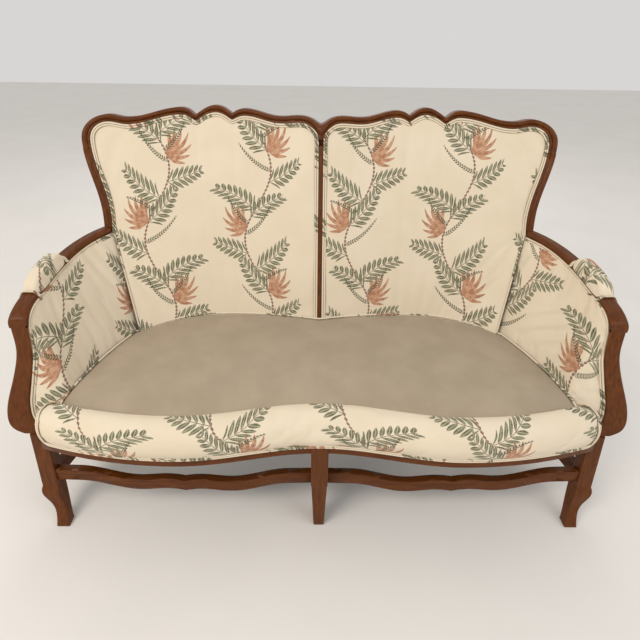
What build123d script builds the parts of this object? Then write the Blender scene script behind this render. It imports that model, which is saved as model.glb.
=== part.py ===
"""Two-seat settee with a show-wood frame, modelled in millimetres.

The frame is +Z up, the front faces -Y and the origin is on the floor under the middle.
Right-hand pieces (+X) are drawn, and left-hand pieces are their mirror images.
"""

import math
import os

from build123d import *

# Seat levels
RAIL_BOTTOM = 262.0
RAIL_HEIGHT = 68.0
LIP_HEIGHT = 22.0
LIP_STEP = 8.0
DECK_Z = 370.0
RAIL_TOP = RAIL_BOTTOM + RAIL_HEIGHT
LIP_TOP = RAIL_BOTTOM + LIP_HEIGHT
SOFT_GAP = 0.4

# Front line of the seat, seen from above
FRONT_CENTRE_Y = -313.0
FRONT_BOW = 42.0
FRONT_BOW_X = 330.0
FRONT_CORNER_X = 690.0
FRONT_CORNER_SETBACK = 68.0
FRONT_RAIL_THICK = 30.0

# Back, seen from above at deck level and rising with a rake
BACK_CENTRE_Y = 129.0
BAY_DEPTH = 40.0
BAY_X = 305.0
BACK_RAKE = 0.31
SEAM_FOOT_X = 523.0
SEAM_FOOT_Y = 85.0
JUNCTION_X = 617.0
JUNCTION_Y = 216.0
JUNCTION_Z = 610.0
STILE_TOP_X = 652.0
STILE_TOP_Z = 838.0
STILE_RAKE = 0.243
STILE_STRAIGHT = 25.0

# Scalloped crest: half-breadth and height of each peak, dip and notch
CUSP_Z = 880.0
CREST_POINTS = [
    ("notch", 0.0, CUSP_Z),
    ("round", 54.0, 897.0),
    ("round", 113.0, 893.0),
    ("round", 213.0, 909.0),
    ("notch", 246.0, 896.0),
    ("round", 291.0, 916.0),
    ("notch", 346.0, 892.0),
    ("round", 386.0, 910.0),
    ("round", 530.0, 887.0),
    ("round", 582.0, 895.0),
]
CREST_JOINT_Z = 815.0

# Moulded show-wood section
CREST_FACE = 14.0
CUSP_FACE = 36.0
CUSP_FLARE = 50.0
STILE_FACE = 24.0
SHOW_DEPTH = 32.0
REBATE = 14.0
LEDGE = 16.0
QUIRK = 2.0
QUIRK_SHARE = 0.25
BEAD_SHARE = 0.68
BEAD_RISE = 1.0
EDGE_ROUND = 9.0
CENTRE_STILE_FACE = 12.0

# Back post below the arm: rear leg, seat level and rise to the arm
POST_FOOT_X = 612.0
POST_FOOT_Y = 215.0
POST_SEAT_X = 597.0
POST_SEAT_Y = 130.0
POST_SEAT_Z = 275.0

# Arm rail: outer side, top side
ARM_MID_X = 706.0
ARM_MID_Y = 75.0
ARM_MID_Z = 586.0
ARM_END_X = 704.0
ARM_END_Y = -160.0
ARM_END_Z = 541.0
ARM_WIDTH = 44.0
ARM_REAR_WIDTH = 34.0
ARM_HEIGHT = 34.0
ARM_ROUND = 11.0
ARM_NOSE_RUN = 0.09
ARM_NOSE_DROP = 14.0
ARM_REBATE = 6.0
ARM_LIP = 14.0

# Arm post: height, centre X, width and front Y from its heel up to the elbow
POST_DEPTH = 44.0
POST_ROUND = 7.0
ARM_POST_STATIONS = [
    (RAIL_BOTTOM, 694.0, 56.0, -252.0),
    (272.0, 708.5, 75.0, -247.0),
    (285.0, 722.0, 69.0, -240.0),
    (305.0, 729.0, 61.0, -230.0),
    (335.0, 727.0, 54.0, -218.0),
    (389.0, 713.0, 46.0, -197.0),
    (440.0, 702.5, 42.0, -178.0),
    (473.5, 702.0, 41.0, -169.0),
]

# Legs and feet
LEG_SIDE_X = 683.0
LEG_SIDE_Y = -260.0
LEG_TOP_Y = -238.0
LEG_SIZE = 40.0
LEG_STEP_Z = 108.0
LEG_ROUND = 3.0
HAUNCH_DEPTH = 26.0
HAUNCH_LAP = 5.0
HAUNCH_DROP = 26.0
LEG_DOWEL_INSET = 11.0
CENTRE_LEG_WIDTH = 41.0
CENTRE_LEG_DEPTH = 60.0
CENTRE_STEP_Z = 154.0
CENTRE_FOOT = 27.0
CENTRE_CHEEK = 5.0
REAR_LEG_WIDTH = 36.0
REAR_LEG_DEPTH = 30.0
REAR_LEG_SPLAY = 62.0
REAR_FOOT = 27.0
GLIDE_RADIUS = 9.0
GLIDE_HEIGHT = 5.0
GLIDE_PROUD = 2.0

# Front side foot: height, shift sideways, shift forwards and size from the step to the toe
FOOT_STATIONS = [
    (LEG_STEP_Z, 0.0, 0.0, 38.5),
    (95.0, 1.0, -4.0, 44.0),
    (78.0, -2.0, -8.0, 42.0),
    (58.0, -10.0, -14.0, 34.0),
    (36.0, -18.0, -25.0, 29.0),
    (16.0, -22.0, -37.0, 30.0),
    (GLIDE_PROUD, -23.0, -43.0, 33.0),
]

# Seat rails, stretchers and blocks
SIDE_RAIL_THICK = 28.0
SIDE_RAIL_FRONT_X = 645.0
SIDE_RAIL_REAR_X = 578.0
BACK_RAIL_THICK = 26.0
BACK_RAIL_INSET = 6.0
JOINT_SINK = 12.0
RAIL_END_X = 650.0
CORNER_WIDTH = 36.0
CORNER_REAR_Y = -228.0
MIDDLE_RAIL_WIDTH = 40.0
MIDDLE_RAIL_HEIGHT = 45.0
STRETCHER_Z = 125.0
STRETCHER_POINTS = [
    ("notch", 0.0, STRETCHER_Z),
    ("round", 42.0, STRETCHER_Z + 6.0),
    ("round", 115.0, STRETCHER_Z),
    ("round", 265.0, STRETCHER_Z + 29.0),
]
STRETCHER_HEIGHT = 33.0
STRETCHER_THICK = 20.0
STRETCHER_BOW = 4.0
STRETCHER_SETBACK = 40.0
SIDE_STRETCHER_HEIGHT = 34.0
BLOCK_LEG = 75.0
BLOCK_HEIGHT = 45.0

# Fastenings
DOWEL_RADIUS = 4.0
DOWEL_LENGTH = 40.0
SCREW_RADIUS = 2.5
SCREW_LENGTH = 45.0
SCREW_HEAD_RADIUS = 4.5
SCREW_HEAD_HEIGHT = 3.0

# Webbing and soft parts
WEB_WIDTH = 50.0
WEB_THICK = 1.5
WEB_PITCH_X = 105.0
WEB_COUNT_X = 10
WEB_PITCH_Y = 90.0
WEB_COUNT_Y = 4
WEB_MID_Y = -85.0
DECK_CROWN_RADIUS = 9000.0
DECK_CROWN_Y = -100.0
DECK_SIDE_X = 617.0
DECK_SIDE_MID_X = 584.0
DECK_SIDE_Y = -215.0
ROLL_DEPTH = 57.0
ROLL_PROUD = 15.0
ROLL_TOP = 374.0
ROLL_END_X = 647.0
ROLL_END_RADIUS = 60.0
BACK_PAD_CROWN = 12.0
PAD_REAR = 12.0
ARM_PANEL_THICK = 24.0
ARM_PANEL_EDGE = 4.0
ARM_PANEL_CROWN = 8.0
ARM_PANEL_TOE_LOW = (664.0, -246.0, 288.0)
ARM_PANEL_TOE_HIGH = (682.0, -171.0, 452.0)
ARM_PANEL_TOE_BOW = 17.0
COVER_TOE = (722.0, -204.0, 365.0)
ARM_PAD_WIDTH = 52.0
ARM_PAD_HEIGHT = 29.0
ARM_PAD_START = 0.53
ARM_PAD_END = 0.845
ARM_PAD_STATIONS = [(0.0, 0.62), (0.1, 0.88), (0.35, 1.0), (0.65, 1.0), (0.9, 0.88), (1.0, 0.62)]
COVER_THICK = 2.0
COVER_MARGIN = 9.0
SOFT_BASE = RAIL_TOP + 2 * WEB_THICK + SOFT_GAP

os.makedirs("parts", exist_ok=True)


def blend(low, high, share):
    """Return the value a share of the way from low to high."""
    return low + (high - low) * share


def ease(low, high, share):
    """Return a value that leaves low and reaches high on level tangents."""
    return blend(low, high, (1 - math.cos(math.pi * share)) / 2)


def front_line(x):
    """Return the front rail's face Y: a recess at the centre and a bow on each side."""
    bow_y = FRONT_CENTRE_Y - FRONT_BOW
    reach = abs(x)
    if reach <= FRONT_BOW_X:
        return ease(FRONT_CENTRE_Y, bow_y, reach / FRONT_BOW_X)
    share = (reach - FRONT_BOW_X) / (FRONT_CORNER_X - FRONT_BOW_X)
    return bow_y + FRONT_CORNER_SETBACK * share**2


def stile_x(z):
    """Return the outer X of the back stile, swept outwards from the arm to the corner."""
    waist = JUNCTION_Z + STILE_STRAIGHT
    if z <= waist:
        return JUNCTION_X
    return ease(JUNCTION_X, STILE_TOP_X, min((z - waist) / (STILE_TOP_Z - waist), 1.0))


def side_line(z):
    """Return X and Y of the back panel's side edge: sloping seam below, stile above."""
    if z < JUNCTION_Z:
        share = (z - DECK_Z) / (JUNCTION_Z - DECK_Z)
        seam_top_x = JUNCTION_X - STILE_FACE
        return blend(SEAM_FOOT_X, seam_top_x, share), blend(SEAM_FOOT_Y, JUNCTION_Y, share)
    return stile_x(z), JUNCTION_Y + STILE_RAKE * (z - JUNCTION_Z)


def back_face(x, z):
    """Return the front Y of the raked back: a bay in each half that wraps at the side."""
    reach = abs(x)
    bay = BACK_CENTRE_Y + BAY_DEPTH + BACK_RAKE * (z - DECK_Z)
    if reach <= BAY_X:
        return bay - BAY_DEPTH * ((BAY_X - reach) / BAY_X) ** 2
    side_x, side_y = side_line(z)
    return bay - (bay - side_y) * ((reach - BAY_X) / (side_x - BAY_X)) ** 2


def wave_height(points, x):
    """Return the Z of a waved edge: quarter waves into notches, half waves elsewhere."""
    for (kind_a, x_a, z_a), (kind_b, x_b, z_b) in zip(points, points[1:]):
        if x <= x_b:
            share = (x - x_a) / (x_b - x_a)
            if kind_a == "notch":
                return blend(z_a, z_b, math.sin(math.pi / 2 * share))
            if kind_b == "notch":
                return blend(z_b, z_a, math.cos(math.pi / 2 * share))
            return ease(z_a, z_b, share)
    return points[-1][2]


def crest_height(x):
    """Return the crest's top Z at a half-breadth."""
    return wave_height(CREST_POINTS, x)


def mirrored(piece):
    """Return the left-hand copy of a right-hand piece."""
    return mirror(piece, about=Plane.YZ, mode=Mode.PRIVATE)


def save(piece, label):
    """Label one piece and write it to its own file."""
    piece.label = label
    export_step(piece, f"parts/{label}.step")


def save_pair(piece, label):
    """Write a right-hand piece and its mirror image."""
    save(mirrored(piece), f"{label}_left")
    save(piece, f"{label}_right")


# Show-wood sections

CORNER_X = CREST_POINTS[-1][1]
CORNER_Z = CREST_POINTS[-1][2]


def moulded_section(x, z, turn, face):
    """Return one section of the moulded frame, cut across its run.

    The section's outer edge is at x, z, and turn is the angle in degrees of its outward
    direction from upright towards +X. Its depth runs along Y from the back's face.
    """
    out_x = math.sin(math.radians(turn))
    out_z = math.cos(math.radians(turn))
    outer_y = back_face(x, z)
    slope = (outer_y - back_face(x - face * out_x, z - face * out_z)) / face
    plane = Plane(origin=(x, outer_y, z), x_dir=(out_x, 0, out_z), z_dir=(-out_z, 0, out_x))

    def at(u, v):
        return (u - face, v + slope * (u - face))

    quirk_width = QUIRK_SHARE * face
    quirk_end = at(quirk_width + QUIRK, 2 * QUIRK)
    with BuildSketch(plane) as section:
        with BuildLine():
            Polyline(
                at(face, SHOW_DEPTH),
                at(-LEDGE, SHOW_DEPTH),
                at(-LEDGE, REBATE),
                at(0, REBATE),
                at(0, QUIRK),
                at(quirk_width, QUIRK),
                quirk_end,
            )
            ThreePointArc(quirk_end, at(BEAD_SHARE * face, -BEAD_RISE), at(face, EDGE_ROUND))
            Line(at(face, EDGE_ROUND), at(face, SHOW_DEPTH))
        make_face()
    return section.sketch


def crest_depth(x):
    """Return the crest's face height, which flares down into the centre stile at the cusp."""
    flare = max(0.0, 1 - abs(x) / CUSP_FLARE)
    return CREST_FACE + (CUSP_FACE - CREST_FACE) * flare**2


def crest_run(start, end, count):
    """Return crest sections from one half-breadth to another."""
    places = [blend(start, end, step / count) for step in range(count + 1)]
    return [moulded_section(x, crest_height(x), 0, crest_depth(x)) for x in places]


def corner_run(count):
    """Return sections round the crest's corner, from level to upright."""
    sections = []
    for step in range(1, count + 1):
        turn = 90 * step / count
        x = CORNER_X + (STILE_TOP_X - CORNER_X) * math.sin(math.radians(turn))
        z = STILE_TOP_Z + (CORNER_Z - STILE_TOP_Z) * math.cos(math.radians(turn))
        sections.append(moulded_section(x, z, turn, blend(CREST_FACE, STILE_FACE, step / count)))
    return sections


def post_place(z):
    """Return the outer X and front Y of the back post at a height."""
    if z >= JUNCTION_Z:
        return side_line(z)
    if z >= POST_SEAT_Z:
        share = (z - POST_SEAT_Z) / (JUNCTION_Z - POST_SEAT_Z)
        rise = share * (0.55 + 0.45 * share)
        return blend(POST_SEAT_X, JUNCTION_X, rise), blend(POST_SEAT_Y, JUNCTION_Y, rise)
    share = 1 - z / POST_SEAT_Z
    kick = share * (0.35 + 0.65 * share)
    return blend(POST_SEAT_X, POST_FOOT_X, kick), blend(POST_SEAT_Y, POST_FOOT_Y, kick)


def post_section(z):
    """Return the back post's level section: the moulded face in front, a rebate inside."""
    x, y = post_place(z)
    inner = x - STILE_FACE
    quirk_width = QUIRK_SHARE * STILE_FACE
    bead_start = (inner + quirk_width + QUIRK, y + 2 * QUIRK)
    with BuildSketch(Plane.XY.offset(z)) as section:
        with BuildLine():
            Polyline(
                (x, y + SHOW_DEPTH),
                (inner - LEDGE, y + SHOW_DEPTH),
                (inner - LEDGE, y + REBATE),
                (inner, y + REBATE),
                (inner, y + QUIRK),
                (inner + quirk_width, y + QUIRK),
                bead_start,
            )
            ThreePointArc(bead_start, (inner + BEAD_SHARE * STILE_FACE, y - BEAD_RISE), (x, y + EDGE_ROUND))
            Line((x, y + EDGE_ROUND), (x, y + SHOW_DEPTH))
        make_face()
    return section.sketch


# Dowels, placed first so that every wooden piece is bored for them

POST_JOINT_X = stile_x(CREST_JOINT_Z) - STILE_FACE / 2
POST_JOINT_Y = side_line(CREST_JOINT_Z)[1] + SHOW_DEPTH / 2 + 2
LEG_DOWEL_X = LEG_SIDE_X + LEG_SIZE / 2 - LEG_DOWEL_INSET
HAUNCH_MID_Y = CORNER_REAR_Y - HAUNCH_DEPTH / 2 - 2
HAUNCH_END_X = LEG_SIDE_X - LEG_SIZE / 2 + HAUNCH_LAP
HAUNCH_DOWEL_Z = (RAIL_BOTTOM + LIP_TOP) / 2
CENTRE_DOWEL_Y = FRONT_CENTRE_Y + FRONT_RAIL_THICK - DOWEL_RADIUS - 6
ELBOW_TOP = ARM_END_Z - ARM_HEIGHT
ELBOW_DOWEL_Y = ARM_END_Y + POST_DEPTH / 2
RAIL_MID_Z = (RAIL_BOTTOM + RAIL_TOP) / 2
STILE_BASE_Y = back_face(0, RAIL_MID_Z) + BACK_RAIL_INSET + BACK_RAIL_THICK / 2
CREST_MID_Z = CUSP_Z - CUSP_FACE / 2
CREST_MID_Y = back_face(0, CREST_MID_Z) + (REBATE + SHOW_DEPTH) / 2

with BuildPart() as dowels:
    for side in (-1, 1):
        upright = [
            (side * POST_JOINT_X, POST_JOINT_Y, CREST_JOINT_Z),
            (side * LEG_DOWEL_X, LEG_TOP_Y, RAIL_BOTTOM),
            (side * ARM_END_X, ELBOW_DOWEL_Y, ELBOW_TOP),
        ]
        with Locations(*upright):
            Cylinder(DOWEL_RADIUS, DOWEL_LENGTH)
        with Locations((side * RAIL_END_X, HAUNCH_MID_Y, HAUNCH_DOWEL_Z)):
            Cylinder(DOWEL_RADIUS, 2 * (HAUNCH_END_X - RAIL_END_X) - 2, rotation=(0, 90, 0))
    middle = [
        (0, CENTRE_DOWEL_Y, RAIL_BOTTOM),
        (0, STILE_BASE_Y, RAIL_BOTTOM),
        (0, STILE_BASE_Y, RAIL_TOP),
    ]
    with Locations(*middle):
        Cylinder(DOWEL_RADIUS, 0.6 * DOWEL_LENGTH)
    with Locations((0, CREST_MID_Y, CREST_MID_Z)):
        Cylinder(DOWEL_RADIUS, DOWEL_LENGTH, rotation=(0, 90, 0))

# Back frame

with BuildPart() as back_post:
    waist = JUNCTION_Z + STILE_STRAIGHT
    heights = [blend(GLIDE_PROUD, POST_SEAT_Z, step / 4) for step in range(5)]
    heights += [blend(POST_SEAT_Z, JUNCTION_Z, step / 5) for step in range(1, 6)]
    heights += [blend(waist, CREST_JOINT_Z, step / 4) for step in range(5)]
    loft(sections=[post_section(z) for z in heights])
    add(dowels.part, mode=Mode.SUBTRACT)

with BuildPart() as crest_rail:
    notches = [x for kind, x, z in CREST_POINTS if kind == "notch"]
    for start, end, count in zip(notches, notches[1:], (12, 6)):
        loft(sections=crest_run(start, end, count))
    shoulder = crest_run(notches[-1], CORNER_X, 12) + corner_run(6)
    for share in (0.35, 0.7, 1.0):
        z = blend(STILE_TOP_Z, CREST_JOINT_Z, share)
        shoulder.append(moulded_section(stile_x(z), z, 90, STILE_FACE))
    loft(sections=shoulder)
    add(dowels.part, mode=Mode.SUBTRACT)

with BuildPart() as centre_stile:
    stile_top = CUSP_Z - CUSP_FACE - LEDGE
    half_face = CENTRE_STILE_FACE / 2
    sections = []
    for z in (RAIL_TOP, stile_top):
        y = back_face(0, z)
        with BuildSketch(Plane.XY.offset(z)) as tee:
            with BuildLine():
                Polyline(
                    (-half_face - LEDGE, y + SHOW_DEPTH),
                    (-half_face - LEDGE, y + REBATE),
                    (-half_face, y + REBATE),
                    (-half_face, y + QUIRK),
                )
                ThreePointArc((-half_face, y + QUIRK), (0, y - BEAD_RISE), (half_face, y + QUIRK))
                Polyline(
                    (half_face, y + QUIRK),
                    (half_face, y + REBATE),
                    (half_face + LEDGE, y + REBATE),
                    (half_face + LEDGE, y + SHOW_DEPTH),
                    (-half_face - LEDGE, y + SHOW_DEPTH),
                )
            make_face()
        sections.append(tee.sketch)
    loft(sections=sections, ruled=True)
    add(dowels.part, mode=Mode.SUBTRACT)

# Seat rails


def front_band(inset, depth, reach, bottom, top):
    """Return a level board that follows the front line, inset behind it."""
    stations = [blend(-reach, reach, step / 24) for step in range(25)]
    front = [(x, front_line(x) + inset) for x in stations]
    rear = [(x, front_line(x) + inset + depth) for x in reversed(stations)]
    with BuildPart() as band:
        with BuildSketch(Plane.XY.offset(bottom)):
            with BuildLine():
                Spline(*front)
                Line(front[-1], rear[0])
                Spline(*rear)
                Line(rear[-1], front[0])
            make_face()
        extrude(amount=top - bottom)
    return band.part


with BuildPart() as front_rail:
    add(front_band(0, FRONT_RAIL_THICK, RAIL_END_X, RAIL_BOTTOM, LIP_TOP))
    add(front_band(LIP_STEP, FRONT_RAIL_THICK - LIP_STEP, RAIL_END_X, LIP_TOP, RAIL_TOP))
    corner_front = front_line(RAIL_END_X) + FRONT_RAIL_THICK / 2
    for side in (-1, 1):
        corner_mid = (side * (RAIL_END_X - CORNER_WIDTH / 2), (corner_front + CORNER_REAR_Y) / 2, RAIL_MID_Z)
        with Locations(corner_mid):
            Box(CORNER_WIDTH, CORNER_REAR_Y - corner_front, RAIL_HEIGHT)
    add(dowels.part, mode=Mode.SUBTRACT)

FRONT_REAR_Y = front_line(SIDE_RAIL_FRONT_X - SIDE_RAIL_THICK / 2) + FRONT_RAIL_THICK
POST_INNER_Y = post_place(RAIL_TOP)[1]


def back_rail_line(x):
    """Return the back rail's front Y: two bays that end at the back posts."""
    centre = back_face(0, RAIL_MID_Z) + BACK_RAIL_INSET
    reach = abs(x)
    if reach <= BAY_X:
        return centre + BAY_DEPTH * (1 - ((BAY_X - reach) / BAY_X) ** 2)
    end_x = POST_SEAT_X - STILE_FACE - LEDGE
    share = (reach - BAY_X) / (end_x - BAY_X)
    return blend(centre + BAY_DEPTH, POST_SEAT_Y + 2, share**2)


with BuildPart() as back_rail:
    reach = POST_SEAT_X - STILE_FACE - LEDGE / 2
    stations = [blend(0, reach, step / 12) for step in range(13)]
    front = [(x, back_rail_line(x)) for x in stations]
    rear = [(x, back_rail_line(x) + BACK_RAIL_THICK) for x in reversed(stations)]
    with BuildSketch(Plane.XY.offset(RAIL_BOTTOM)):
        with BuildLine():
            Spline(*front)
            Line(front[-1], rear[0])
            Spline(*rear)
            Line(rear[-1], front[0])
        make_face()
        mirror(about=Plane.YZ)
    extrude(amount=RAIL_HEIGHT)
    add(back_post.part, mode=Mode.SUBTRACT)
    add(mirrored(back_post.part), mode=Mode.SUBTRACT)
    add(dowels.part, mode=Mode.SUBTRACT)

with BuildPart() as side_rail:
    half = SIDE_RAIL_THICK / 2
    with BuildSketch(Plane.XY.offset(RAIL_BOTTOM)):
        with BuildLine():
            Polyline(
                (SIDE_RAIL_FRONT_X - half, CORNER_REAR_Y),
                (SIDE_RAIL_FRONT_X + half, CORNER_REAR_Y),
                (SIDE_RAIL_REAR_X + half, POST_INNER_Y + JOINT_SINK),
                (SIDE_RAIL_REAR_X - half, POST_INNER_Y + JOINT_SINK),
                close=True,
            )
        make_face()
    extrude(amount=RAIL_HEIGHT)
    add(front_rail.part, mode=Mode.SUBTRACT)
    add(back_post.part, mode=Mode.SUBTRACT)
    add(dowels.part, mode=Mode.SUBTRACT)

with BuildPart() as middle_rail:
    rail_front = front_line(0) + FRONT_RAIL_THICK
    rail_rear = back_rail_line(0)
    with Locations((0, (rail_front + rail_rear) / 2, RAIL_BOTTOM + MIDDLE_RAIL_HEIGHT / 2)):
        Box(MIDDLE_RAIL_WIDTH, rail_rear - rail_front + JOINT_SINK, MIDDLE_RAIL_HEIGHT)
    add(front_rail.part, mode=Mode.SUBTRACT)
    add(back_rail.part, mode=Mode.SUBTRACT)

# Legs


def square_section(z, x, y, size_x, size_y):
    """Return a level rounded rectangle for a leg loft."""
    with BuildSketch(Plane.XY.offset(z)) as section:
        with Locations((x, y)):
            RectangleRounded(size_x, size_y, LEG_ROUND)
    return section.sketch


def glide_seat(x, y):
    """Return the bored seat of one glide under a foot."""
    with BuildPart() as seat:
        with Locations((x, y, 0)):
            Cylinder(GLIDE_RADIUS, GLIDE_HEIGHT, align=(Align.CENTER, Align.CENTER, Align.MIN))
    return seat.part


TOE_X = LEG_SIDE_X + FOOT_STATIONS[-1][1]
TOE_Y = LEG_SIDE_Y + FOOT_STATIONS[-1][2]
CENTRE_LEG_Y = FRONT_CENTRE_Y - CENTRE_CHEEK + CENTRE_LEG_DEPTH / 2
CENTRE_FOOT_Y = FRONT_CENTRE_Y + CENTRE_FOOT / 2
REAR_LEG_Y = STILE_BASE_Y
REAR_FOOT_Y = REAR_LEG_Y + REAR_LEG_SPLAY
POST_FOOT_MID_X = POST_FOOT_X - (STILE_FACE + LEDGE) / 2
POST_FOOT_MID_Y = POST_FOOT_Y + (REBATE + SHOW_DEPTH) / 2
GLIDE_PLACES = [(0, CENTRE_FOOT_Y), (0, REAR_FOOT_Y)]
for side in (-1, 1):
    GLIDE_PLACES += [(side * TOE_X, TOE_Y), (side * POST_FOOT_MID_X, POST_FOOT_MID_Y)]

with BuildPart() as glides:
    for place in GLIDE_PLACES:
        add(glide_seat(*place))

with BuildPart() as side_leg:
    block = [
        square_section(LEG_STEP_Z, LEG_SIDE_X, LEG_SIDE_Y, LEG_SIZE, LEG_SIZE),
        square_section(RAIL_BOTTOM, LEG_SIDE_X, LEG_TOP_Y, LEG_SIZE, LEG_SIZE),
    ]
    loft(sections=block, ruled=True)
    haunch_z = (RAIL_BOTTOM - HAUNCH_DROP + LIP_TOP) / 2
    with Locations(((RAIL_END_X + HAUNCH_END_X) / 2, HAUNCH_MID_Y, haunch_z)):
        Box(HAUNCH_END_X - RAIL_END_X, HAUNCH_DEPTH, LIP_TOP - RAIL_BOTTOM + HAUNCH_DROP)
    foot = []
    for z, shift_x, shift_y, size in FOOT_STATIONS:
        foot.append(square_section(z, LEG_SIDE_X + shift_x, LEG_SIDE_Y + shift_y, size, size))
    loft(sections=foot)
    add(front_rail.part, mode=Mode.SUBTRACT)
    add(side_rail.part, mode=Mode.SUBTRACT)
    add(dowels.part, mode=Mode.SUBTRACT)
    add(glides.part, mode=Mode.SUBTRACT)

with BuildPart() as centre_leg:
    block = [
        square_section(CENTRE_STEP_Z, 0, CENTRE_LEG_Y, CENTRE_LEG_WIDTH, CENTRE_LEG_DEPTH),
        square_section(LIP_TOP, 0, CENTRE_LEG_Y, CENTRE_LEG_WIDTH, CENTRE_LEG_DEPTH),
    ]
    loft(sections=block, ruled=True)
    taper = [
        square_section(GLIDE_PROUD, 0, CENTRE_FOOT_Y, CENTRE_FOOT, CENTRE_FOOT),
        square_section(CENTRE_STEP_Z, 0, CENTRE_LEG_Y, CENTRE_LEG_WIDTH - 2, CENTRE_LEG_DEPTH - 2),
    ]
    loft(sections=taper, ruled=True)
    add(front_rail.part, mode=Mode.SUBTRACT)
    add(middle_rail.part, mode=Mode.SUBTRACT)
    add(dowels.part, mode=Mode.SUBTRACT)
    add(glides.part, mode=Mode.SUBTRACT)

with BuildPart() as rear_leg:
    splay = [
        square_section(GLIDE_PROUD, 0, REAR_FOOT_Y, REAR_FOOT, REAR_FOOT),
        square_section(RAIL_BOTTOM, 0, REAR_LEG_Y, REAR_LEG_WIDTH, REAR_LEG_DEPTH),
    ]
    loft(sections=splay, ruled=True)
    add(dowels.part, mode=Mode.SUBTRACT)
    add(glides.part, mode=Mode.SUBTRACT)

with BuildPart() as back_post_bored:
    add(back_post.part)
    add(glides.part, mode=Mode.SUBTRACT)

# Stretchers

STRETCHER_START = CENTRE_LEG_WIDTH / 2
STRETCHER_END = LEG_SIDE_X - LEG_SIZE / 2
STRETCHER_START_Y = FRONT_CENTRE_Y - CENTRE_CHEEK + STRETCHER_SETBACK
STRETCHER_END_Y = LEG_SIDE_Y - STRETCHER_THICK / 2


def stretcher_face(x):
    """Return the stretcher's front Y: a shallow bow between its two legs."""
    share = (x - STRETCHER_START) / (STRETCHER_END - STRETCHER_START)
    return ease(STRETCHER_START_Y, STRETCHER_END_Y, share) - 4 * share * (1 - share) * STRETCHER_BOW


def stretcher_edge(start, end, drop):
    """Return points of a stretcher's waved edge between two places, lowered by drop."""
    middle = (STRETCHER_START + STRETCHER_END) / 2
    places = [blend(start, end, step / 16) for step in range(17)]
    return [(x, wave_height(STRETCHER_POINTS, abs(x - middle)) - drop) for x in places]


with BuildPart() as front_stretcher:
    low = STRETCHER_START - STRETCHER_THICK / 2
    high = STRETCHER_END + STRETCHER_THICK / 2
    middle_x = (STRETCHER_START + STRETCHER_END) / 2
    with BuildSketch(Plane.XZ):
        with BuildLine():
            inner_top = Spline(*stretcher_edge(low, middle_x, 0))
            outer_top = Spline(*stretcher_edge(middle_x, high, 0))
            inner_bottom = Spline(*stretcher_edge(low, middle_x, STRETCHER_HEIGHT))
            outer_bottom = Spline(*stretcher_edge(middle_x, high, STRETCHER_HEIGHT))
            Line(inner_top @ 0, inner_bottom @ 0)
            Line(outer_top @ 1, outer_bottom @ 1)
        make_face()
    extrude(amount=-FRONT_CENTRE_Y + FRONT_BOW + STRETCHER_BOW)
    stations = [blend(low, high, step / 16) for step in range(17)]
    front = [(x, stretcher_face(x)) for x in stations]
    rear = [(x, stretcher_face(x) + STRETCHER_THICK) for x in reversed(stations)]
    with BuildSketch():
        with BuildLine():
            Spline(*front)
            Line(front[-1], rear[0])
            Spline(*rear)
            Line(rear[-1], front[0])
        make_face()
    extrude(amount=RAIL_BOTTOM, mode=Mode.INTERSECT)
    add(centre_leg.part, mode=Mode.SUBTRACT)
    add(side_leg.part, mode=Mode.SUBTRACT)

with BuildPart() as side_stretcher:
    half = STRETCHER_THICK / 2
    rear_x, rear_y = post_place(STRETCHER_Z)
    rear_mid = rear_x - STILE_FACE / 2
    with BuildSketch(Plane.XY.offset(STRETCHER_Z - SIDE_STRETCHER_HEIGHT / 2)):
        with BuildLine():
            Polyline(
                (LEG_SIDE_X - half, LEG_SIDE_Y),
                (LEG_SIDE_X + half, LEG_SIDE_Y),
                (rear_mid + half, rear_y + SHOW_DEPTH / 2),
                (rear_mid - half, rear_y + SHOW_DEPTH / 2),
                close=True,
            )
        make_face()
    extrude(amount=SIDE_STRETCHER_HEIGHT)
    add(side_leg.part, mode=Mode.SUBTRACT)
    add(back_post.part, mode=Mode.SUBTRACT)

with BuildPart() as middle_stretcher:
    stretcher_front = CENTRE_LEG_Y
    stretcher_rear = REAR_FOOT_Y
    with Locations((0, (stretcher_front + stretcher_rear) / 2, STRETCHER_Z)):
        Box(STRETCHER_THICK, stretcher_rear - stretcher_front, SIDE_STRETCHER_HEIGHT)
    add(centre_leg.part, mode=Mode.SUBTRACT)
    add(rear_leg.part, mode=Mode.SUBTRACT)
    leftover = middle_stretcher.solids().sort_by(SortBy.VOLUME)[:-1]
    for scrap in leftover:
        add(scrap, mode=Mode.SUBTRACT)

# Arms

ARM_STATIONS = 8
NOSE_STATIONS = 6


def arm_place(share):
    """Return the arm rail's top centre point, on a curve through its middle and its ends."""
    start = (JUNCTION_X - ARM_REAR_WIDTH / 3, JUNCTION_Y + 6, JUNCTION_Z)
    middle = (ARM_MID_X - ARM_WIDTH / 2, ARM_MID_Y, ARM_MID_Z)
    end = (ARM_END_X, ARM_END_Y, ARM_END_Z)
    weights = (2 * (share - 0.5) * (share - 1), 4 * share * (1 - share), 2 * share * (share - 0.5))
    return [sum(w * p[axis] for w, p in zip(weights, (start, middle, end))) for axis in range(3)]


def arm_frame(share):
    """Return the plane across the arm at a place: local X to the outside, local Y up."""
    x, y, z = arm_place(share)
    ahead = arm_place(share + 0.01)
    behind = arm_place(share - 0.01)
    run_x = ahead[0] - behind[0]
    run_y = ahead[1] - behind[1]
    length = math.hypot(run_x, run_y)
    return Plane(origin=(x, y, z), x_dir=(-run_y / length, run_x / length, 0), z_dir=(run_x, run_y, 0))


def arm_half(share):
    """Return half the arm rail's width, which grows from the back post to the elbow."""
    return blend(ARM_REAR_WIDTH, ARM_WIDTH, share) / 2


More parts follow.
